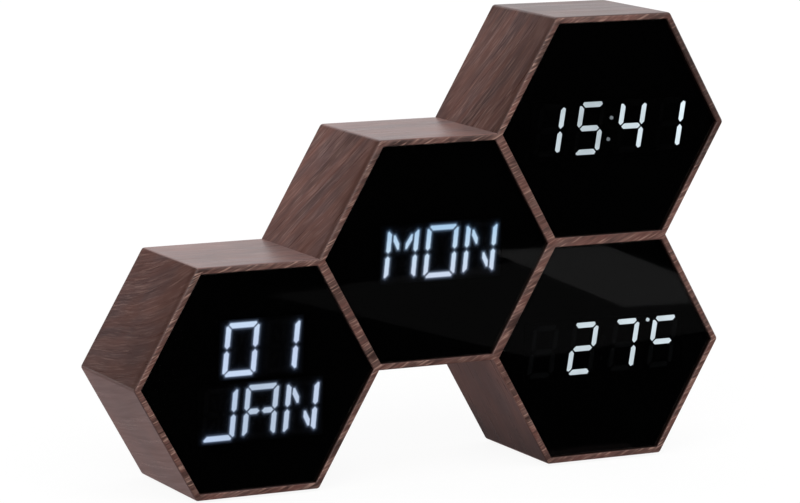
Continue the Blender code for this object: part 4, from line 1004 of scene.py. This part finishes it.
# A dot for closed and a ring for open, beside the battery cover
closed = polar(battery_place, MARK_REACH, 90)
opened = polar(battery_place, MARK_REACH, 90 - UNLOCK_TURN)
mark_floor = COVER_BACK - MARK_DEPTH
cutters.append(drill(ring(MARK_DOT, closed), closed, mark_floor, COVER_BACK, MARK_BREAK))
inner, outer = MARK_RING
groove = [(inner, mark_floor), (outer, mark_floor), (outer, COVER_BACK + OVERRUN),
          (inner, COVER_BACK + OVERRUN), (inner, mark_floor)]
cutters.append(turned("ring_mark", groove, opened, 24))
combine(cover, joined(cutters, "cover_openings"), "DIFFERENCE")
board_low, board_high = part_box("control_board")
board_face = board_high.y - BOARD_THICKNESS
head_in, head_up = STAKE_HEAD_ROUND
for x in (board_low.x + BOSS_INSET, board_high.x - BOSS_INSET):
    for z in (board_low.z + BOSS_INSET, board_high.z - BOSS_INSET):
        profile = [(0, COVER_LOW.y), (STAKE_HEAD_RADIUS - head_in, COVER_LOW.y),
                   (STAKE_HEAD_RADIUS, COVER_LOW.y + head_up), (STAKE_HEAD_RADIUS, board_face - SEAT_GAP),
                   (STAKE_PIN_RADIUS, board_face - SEAT_GAP), (STAKE_PIN_RADIUS, board_high.y + SEAT_GAP),
                   (BOSS_RADIUS, board_high.y + SEAT_GAP), (BOSS_RADIUS, COVER_FRONT - BOSS_FILLET),
                   (BOSS_RADIUS + BOSS_FILLET, COVER_FRONT + BOSS_ROOT), (0, COVER_FRONT + BOSS_ROOT)]
        combine(cover, turned("boss", profile, (x, z), 24), "UNION")
clean_flats(cover)
shade_crisp(cover, 35)
textured_abs = moulded_abs("abs_moulded_spark_textured", "1B1B1D", roughness=0.55, grit=0.00045, sheen=0.5)
cover.data.materials.append(textured_abs)
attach(cover, "clock")
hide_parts("rear_cover")

# Push buttons
# Three ABS caps with a slightly dished face, held behind the cover by their flange. The mark on each is
# printed white: a dot to set, and arrows down and up.

BUTTON_ROUND = 0.0006
BUTTON_FLANGE = 0.0010
FLANGE_THICKNESS = 0.0009
STEM_RADIUS = 0.0017
DISH = 0.00020
ARROW = 0.0012
DOT_MARK = 0.0009
MARK_ROOT = 0.0006
INK_SINK = 0.00004
SCREEN_SIZE = 0.0004


def printed_ink():
    """Pad-printed ink on ABS: a thin matt off-white layer, uneven at the scale of its screen."""
    material, tree = empty_material("pad_printed_ink_white")
    spot = node(tree, "TexCoord").outputs["Object"]
    screen = node(tree, "TexNoise", {"Vector": spot, "Scale": 1 / SCREEN_SIZE})
    shade = node(tree, "ValToRGB", {0: screen}, stops=[(0.3, "B2B2AE"), (0.6, "D6D6D2")])
    return surface(material, "BsdfPrincipled", {"Base Color": shade, "Roughness": 0.7})


ink = printed_ink()
smooth_abs = moulded_abs("abs_moulded_satin_black", "141416", roughness=0.38, grit=0.0014, sheen=0.5)


def rounded_edge(radius, depth, size, steps=5):
    """Profile points round an outer edge, from the side of a turned piece to its back face."""
    return [polar((radius - size, depth - size), size, 90 * step / steps) for step in range(steps + 1)]


for name in BUTTONS:
    low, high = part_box("button_" + name)
    place = middle_of("button_" + name)
    flange = COVER_FRONT - SEAT_GAP
    flange_radius = BUTTON_RADIUS + BUTTON_FLANGE
    profile = [(0, low.y), (STEM_RADIUS, low.y), (STEM_RADIUS, flange - FLANGE_THICKNESS),
               (flange_radius, flange - FLANGE_THICKNESS), (flange_radius, flange), (BUTTON_RADIUS, flange),
               *rounded_edge(BUTTON_RADIUS, high.y, BUTTON_ROUND)]
    profile += [(BUTTON_RADIUS * share, high.y - DISH * fall)
                for share, fall in ((0.6, 0.75), (0.3, 1), (0, 1))]
    cap = turned("push_cap_" + name, profile, place)
    mark_back = high.y - INK_SINK
    outline = ring(DOT_MARK, place)
    if name != "set":
        arrow = ARROW if name == "up" else -ARROW
        outline = [(place[0] + across * arrow, place[1] + up * arrow)
                   for across, up in ((-1, -0.6), (1, -0.6), (0, 1))]
    mark = prism("mark", outline, high.y - MARK_ROOT, mark_back)
    combine(cap, mark, "UNION")
    cap.data.materials.append(smooth_abs)
    cap.data.materials.append(ink)
    for face in cap.data.polygons:
        near = (face.center - Vector((place[0], face.center.y, place[1]))).length < ARROW * 1.05
        face.material_index = 1 if near and face.center.y > mark_back - INK_SINK / 4 else 0
    shade_crisp(cap, 40)
    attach(cap, name + "_button")
    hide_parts("button_" + name)
refinish(["plunger_" + name for name in BUTTONS], smooth_abs)

# Battery cover
# A twist-lock ABS cap over the coin cell. Its three lugs turn in behind the rear cover, a coin fits its
# slot, and a groove runs round its face.

CAP_WALL = 0.0016
CAP_FACE = 0.0014
CAP_ROUND = 0.0004
# Where the groove in the face begins, reaches its floor, leaves it and ends, inwards from the cap's side
GROOVE = (0.0012, 0.0014, 0.0018, 0.0020)
GROOVE_DEPTH = 0.0002
LUG_THICKNESS = 0.0012
LUG_ROOT = 0.0005
COIN_SLOT_HALF_LENGTH = 0.007
COIN_SLOT_HALF_WIDTH = 0.0009
COIN_SLOT_DEPTH = 0.0008
COIN_SLOT_BREAK = 0.00015
POINTER_TIP = 0.0098
POINTER_FOOT = 0.0084
POINTER_HALF_ANGLE = 7

low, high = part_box("battery_cover")
inside = high.y - CAP_FACE
bore = CAP_RADIUS - CAP_WALL
profile = [(0, inside), (bore, inside), (bore, low.y), (CAP_RADIUS, low.y)]
profile += rounded_edge(CAP_RADIUS, high.y, CAP_ROUND)
profile += [(CAP_RADIUS - GROOVE[0], high.y), (CAP_RADIUS - GROOVE[1], high.y - GROOVE_DEPTH),
            (CAP_RADIUS - GROOVE[2], high.y - GROOVE_DEPTH), (CAP_RADIUS - GROOVE[3], high.y), (0, high.y)]
door = turned("battery_cap", profile, battery_place, 96)
lug_turns = range(-LUG_HALF_ANGLE, LUG_HALF_ANGLE + 1, 5)
for bearing in LUG_BEARINGS:
    inner = [polar(battery_place, CAP_RADIUS - LUG_ROOT, bearing - turn) for turn in lug_turns]
    outer = [polar(battery_place, CAP_RADIUS + LUG_REACH, bearing + turn) for turn in lug_turns]
    combine(door, prism("lug", inner + outer, low.y, low.y + LUG_THICKNESS), "UNION")
slot = stadium(COIN_SLOT_HALF_LENGTH, COIN_SLOT_HALF_WIDTH, battery_place)
cutters = [drill(slot, battery_place, high.y - COIN_SLOT_DEPTH, high.y, COIN_SLOT_BREAK)]
pointer = [polar(battery_place, reach, 90 + turn) for reach, turn in (
    (POINTER_TIP, 0), (POINTER_FOOT, POINTER_HALF_ANGLE), (POINTER_FOOT, -POINTER_HALF_ANGLE))]
cutters.append(prism("pointer", pointer, high.y - MARK_DEPTH, high.y + OVERRUN))
combine(door, joined(cutters, "door_cuts"), "DIFFERENCE")
shade_crisp(door, 35)
door.data.materials.append(textured_abs)
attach(door, "battery_door")
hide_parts("battery_cover")

# Power inlet
# A moulded socket soldered to the control board, with a nickel-plated centre pin. Its round nose stands in
# a hole of the rear cover.

INLET_BORE_RADIUS = 0.0030
INLET_FLOOR = 0.0016
INLET_CORNER = 0.0006
INLET_BREAK = 0.0003
NOSE_ROOT = 0.0005
CENTRE_PIN_RADIUS = 0.0010
CENTRE_PIN_ROUND = 0.0007

low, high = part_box("power_inlet")
body_back = COVER_FRONT - SEAT_GAP
body = prism("inlet_body", rectangle(low, high), low.y, body_back)
round_edges(body, INLET_CORNER, 4, lambda edge: abs(edge.verts[0].co.y - edge.verts[1].co.y) > INLET_CORNER)
profile = [(0, body_back - NOSE_ROOT), (INLET_NOSE_RADIUS, body_back - NOSE_ROOT),
           *rounded_edge(INLET_NOSE_RADIUS, high.y, INLET_BREAK), (0, high.y)]
combine(body, turned("nose", profile, inlet_place), "UNION")
bore = ring(INLET_BORE_RADIUS, inlet_place, 48)
combine(body, drill(bore, inlet_place, low.y + INLET_FLOOR, high.y, INLET_BREAK), "DIFFERENCE")
body.name = "inlet_socket"
shade_crisp(body, 35)
body.data.materials.append(smooth_abs)
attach(body, "clock")
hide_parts("power_inlet")


def plated_metal(name, colour, bright, roughness, width):
    """Polished or stamped metal: faint drawn lines and handling marks, mostly in its shine."""
    material, tree = empty_material(name)
    spot = node(tree, "TexCoord").outputs["Object"]
    drawn = node(tree, "Mapping", {"Vector": spot, "Scale": (1 / width, 0.1 / width, 1 / width)})
    marks = node(tree, "TexNoise", {"Vector": drawn, "Scale": 1.0, "Detail": 3.0})
    shade = node(tree, "ValToRGB", {0: marks}, stops=[(0.35, colour), (0.65, bright)])
    rough = node(tree, "MapRange", {"Value": marks, "From Min": 0.3, "From Max": 0.7,
                                    "To Min": roughness - 0.06, "To Max": roughness + 0.08})
    return surface(material, "BsdfPrincipled", {"Base Color": shade, "Roughness": rough, "Metallic": 1.0})


low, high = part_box("power_inlet_pin")
profile = [(0, low.y), (CENTRE_PIN_RADIUS, low.y),
           *rounded_edge(CENTRE_PIN_RADIUS, high.y, CENTRE_PIN_ROUND), (0, high.y)]
pin = turned("inlet_centre_pin", profile, inlet_place, 24)
shade_crisp(pin, 60)
nickel_plate = plated_metal("nickel_plated_brass", "B9A988", "CFC3A6", roughness=0.25, width=0.0003)
pin.data.materials.append(nickel_plate)
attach(pin, "clock")
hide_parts("power_inlet_pin")

# Cover screws
# Eight zinc-plated self-tapping screws with a domed head and a cross recess, driven into the posts of the
# frames, each left at its own angle.

SCREW_HEAD_RADIUS = 0.0024
SCREW_HEAD_HEIGHT = 0.0013
SCREW_HEAD_BREAK = 0.0001
DOME_FOOT = 0.0004
DOME_START = math.radians(12)
DOME_STEPS = 6
SHANK_RADIUS = 0.00115
CORE_RADIUS = 0.00085
NECK_LENGTH = 0.0012
SCREW_TIP = 0.0008
THREAD_PITCH = 0.0008
FIRST_CREST = 0.0012
LAST_CREST = 0.0020
RECESS_REACH = 0.0013
RECESS_HALF_WIDTH = 0.0003
RECESS_DEPTH = 0.0008
SCREW_TURN = 37

low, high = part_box(screw_nodes[0])
seat = high.y - SCREW_HEAD_HEIGHT
profile = [(0, low.y), (CORE_RADIUS * 0.6, low.y + SCREW_TIP)]
crest = low.y + FIRST_CREST
while crest < seat - LAST_CREST:
    profile += [(CORE_RADIUS, crest - THREAD_PITCH * 0.3), (SHANK_RADIUS, crest),
                (CORE_RADIUS, crest + THREAD_PITCH * 0.3)]
    crest += THREAD_PITCH
profile += [(SHANK_RADIUS * 0.95, seat - NECK_LENGTH), (SHANK_RADIUS * 0.95, seat),
            (SCREW_HEAD_RADIUS - SCREW_HEAD_BREAK, seat), (SCREW_HEAD_RADIUS, seat + SCREW_HEAD_BREAK)]
for step in range(DOME_STEPS):
    angle = DOME_START + (math.pi / 2 - DOME_START) * step / DOME_STEPS
    rise = (math.sin(angle) - math.sin(DOME_START)) / (1 - math.sin(DOME_START))
    profile.append((SCREW_HEAD_RADIUS * math.cos(angle) / math.cos(DOME_START),
                    seat + DOME_FOOT + (SCREW_HEAD_HEIGHT - DOME_FOOT) * rise))
profile.append((0, high.y))
model = turned("screw_model", profile, (0, 0), 32)
corner = [(RECESS_HALF_WIDTH, RECESS_HALF_WIDTH), (RECESS_REACH, RECESS_HALF_WIDTH),
          (RECESS_REACH, -RECESS_HALF_WIDTH)]
cross = [(x * across + z * up, z * across - x * up) for across, up in ((1, 0), (0, 1), (-1, 0), (0, -1))
         for x, z in corner]
recess = prism("recess", cross, high.y - RECESS_DEPTH, high.y + OVERRUN)
edit(recess, "faces", lambda face: face.normal.y < -0.9)
bpy.ops.transform.resize(value=(0.5, 1, 0.5), center_override=(0, high.y, 0))
combine(model, recess, "DIFFERENCE")
zinc_plate = plated_metal("zinc_plated_steel", "8E8F90", "B9BABC", roughness=0.33, width=0.0004)
model.data.materials.append(zinc_plate)
for index, name in enumerate(screw_nodes):
    place = middle_of(name)
    screw = put_in_scene(name.replace("cover_screw", "tapping_screw"), model.data.copy())
    turn = Matrix.Rotation(math.radians(SCREW_TURN * index), 4, "Y")
    screw.data.transform(Matrix.Translation((place[0], 0, place[1])) @ turn)
    shade_crisp(screw, 30)
    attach(screw, "clock")
    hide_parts(name)
bpy.data.objects.remove(model)

# Foot pads
# Die-cut synthetic rubber sheet with rounded corners, glued on under the two cells that the clock
# stands on.

PAD_CORNER = 0.006
PAD_BREAK = 0.00015
RUBBER_GRAIN = 0.0007


def rubber_sheet():
    """Calendered rubber: matt dark grey with a fine grain that dulls it unevenly."""
    material, tree = empty_material("rubber_sheet_matt")
    spot = node(tree, "TexCoord").outputs["Object"]
    speck = node(tree, "TexNoise", {"Vector": spot, "Scale": 1 / RUBBER_GRAIN, "Detail": 3.0})
    shade = node(tree, "ValToRGB", {0: speck}, stops=[(0.3, "1A1A1A"), (0.7, "2A2A2B")])
    height = node(tree, "Bump", {"Height": speck, "Strength": 0.4, "Distance": 0.0001})
    return surface(material, "BsdfPrincipled", {"Base Color": shade, "Roughness": 0.85, "Normal": height})


rubber = rubber_sheet()
for cell in ("date", "temperature"):
    low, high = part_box("foot_pad_" + cell)
    middle = (low + high) / 2
    pad = flat_sheet("anti_slip_pad_" + cell, (high.x - low.x, high.y - low.y), (middle.x, middle.y, low.z))
    bpy.ops.object.transform_apply(location=True, rotation=True, scale=True)
    edit(pad, "verts")
    bpy.ops.mesh.bevel(offset=PAD_CORNER, segments=10, affect="VERTICES", profile=0.5)
    edit(pad, "faces")
    bpy.ops.mesh.extrude_region_move(TRANSFORM_OT_translate={"value": (0, 0, high.z - low.z)})
    face_outwards()
    round_edges(pad, PAD_BREAK, 2, lambda edge: all(point.co.z < low.z + PAD_BREAK for point in edge.verts))
    shade_crisp(pad, 40)
    pad.data.materials.append(rubber)
    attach(pad, "clock")
    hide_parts("foot_pad_" + cell)

# Circuit boards and what is soldered to them
# Glass-epoxy boards under green solder mask, with cream nylon sockets and black chips in epoxy. The display
# boards are staked to the frames, and the control board to the rear cover.

TRACK_SIZE = 0.00385
SPECK_SIZE = 0.0011
BOARD_SKIN = 0.00005
CHIP_REACH = 0.008


def circuit_board(name, centre, board_front, board_back, chip_radius):
    """Solder mask over copper tracks: lighter where copper lies under it, with tinned pads.

    What stands up from the board is a chip near its middle, or a nylon socket further out.
    """
    material, tree = empty_material(name)
    spot = node(tree, "TexCoord").outputs["Object"]
    parts = node(tree, "SeparateXYZ", {0: spot})
    cells = node(tree, "TexVoronoi", {"Vector": spot, "Scale": 1 / TRACK_SIZE}, distance="MANHATTAN",
                 feature="F1")
    copper = node(tree, "ValToRGB", {0: cells},
                  stops=[(0.30, "1F5A35"), (0.34, "12431F"), (0.62, "12431F"), (0.66, "1B5030")])
    pads = node(tree, "MapRange", {"Value": cells, "From Min": 0.075, "From Max": 0.06})
    mask = node(tree, "Mix", {0: pads, 6: copper, 7: linear("B9B7AC")}, data_type="RGBA")
    above = node(tree, "Math", {0: parts.outputs[1], 1: board_back + BOARD_SKIN}, operation="GREATER_THAN")
    below = node(tree, "Math", {0: parts.outputs[1], 1: board_front - BOARD_SKIN}, operation="LESS_THAN")
    proud = node(tree, "Math", {0: above, 1: below}, operation="MAXIMUM")
    flat = node(tree, "CombineXYZ", {0: parts, 2: parts.outputs[2]})
    reach = node(tree, "VectorMath", {0: flat, 1: (centre.x, 0, centre.z)}, operation="DISTANCE")
    far = node(tree, "Math", {0: reach.outputs["Value"], 1: chip_radius}, operation="GREATER_THAN")
    speck = node(tree, "TexNoise", {"Vector": spot, "Scale": 1 / SPECK_SIZE, "Detail": 2.0})
    epoxy = node(tree, "ValToRGB", {0: speck}, stops=[(0.3, "161617"), (0.7, "212123")])
    nylon = node(tree, "ValToRGB", {0: speck}, stops=[(0.3, "CFC7B2"), (0.7, "DED7C4")])
    stands = node(tree, "Mix", {0: far, 6: epoxy, 7: nylon}, data_type="RGBA")
    colour = node(tree, "Mix", {0: proud, 6: mask.outputs[2], 7: stands.outputs[2]}, data_type="RGBA")
    height = node(tree, "Bump", {"Height": cells, "Strength": 0.1, "Distance": 0.0001})
    return surface(material, "BsdfPrincipled", {"Base Color": colour.outputs[2], "Roughness": 0.4,
                                                "Normal": height})


for cell in CELLS:
    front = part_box("display_board_" + cell)[0].y
    back = front + BOARD_THICKNESS
    board = circuit_board("glass_epoxy_board_" + cell, CENTRES[cell], front, back, CHIP_REACH)
    refinish(["display_board_" + cell], board)
board = circuit_board("glass_epoxy_control_board", CENTRES["temperature"], board_face, board_high.y,
                      chip_radius=0)
refinish(["control_board"], board)
cased_epoxy = moulded_abs("epoxy_chip_case", "1A1A1C", roughness=0.5, grit=0.00055, sheen=0.4)
refinish(["controller_chip", "buzzer", "coin_cell_holder"], cased_epoxy)
stamped_steel = plated_metal("stamped_steel_bright", "9FA0A2", "C6C7C9", roughness=0.28, width=0.0006)
refinish(["coin_cell", "coin_cell_contact", *["switch_" + name for name in BUTTONS]], stamped_steel)

MOTTLE_SIZE = 0.00067


def dipped_bead():
    """Epoxy-dipped sensor bead: glossy, slightly mottled tan."""
    material, tree = empty_material("epoxy_dipped_bead")
    spot = node(tree, "TexCoord").outputs["Object"]
    mottle = node(tree, "TexNoise", {"Vector": spot, "Scale": 1 / MOTTLE_SIZE})
    shade = node(tree, "ValToRGB", {0: mottle}, stops=[(0.3, "8A6A3E"), (0.7, "A88452")])
    return surface(material, "BsdfPrincipled", {"Base Color": shade, "Roughness": 0.25})


refinish(["temperature_sensor"], dipped_bead())

# Wires
# Stranded wires in a grey PVC sleeve, ribbed where the strands press through. They run from board to
# board, three of them through the holes in the case's shared walls.

RIB_SPACING = 0.0012


def wire_sleeve():
    """Extruded PVC: satin grey, with faint ribs."""
    material, tree = empty_material("pvc_sleeve_grey")
    spot = node(tree, "TexCoord").outputs["Object"]
    # A diagonal wave of scale 1 turns by 10 for each metre along x, y and z together
    scale = 2 * math.pi / (10 * math.sqrt(3) * RIB_SPACING)
    ribs = node(tree, "TexWave", {"Vector": spot, "Scale": scale, "Distortion": 1.5},
                bands_direction="DIAGONAL")
    shade = node(tree, "ValToRGB", {0: ribs.outputs["Fac"]}, stops=[(0.2, "6E6E72"), (0.8, "84848A")])
    height = node(tree, "Bump", {"Height": ribs.outputs["Fac"], "Strength": 0.3, "Distance": 0.0001})
    return surface(material, "BsdfPrincipled", {"Base Color": shade, "Roughness": 0.45, "Normal": height})


refinish(["wire_" + cell for cell in CELLS], wire_sleeve())

low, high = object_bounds()
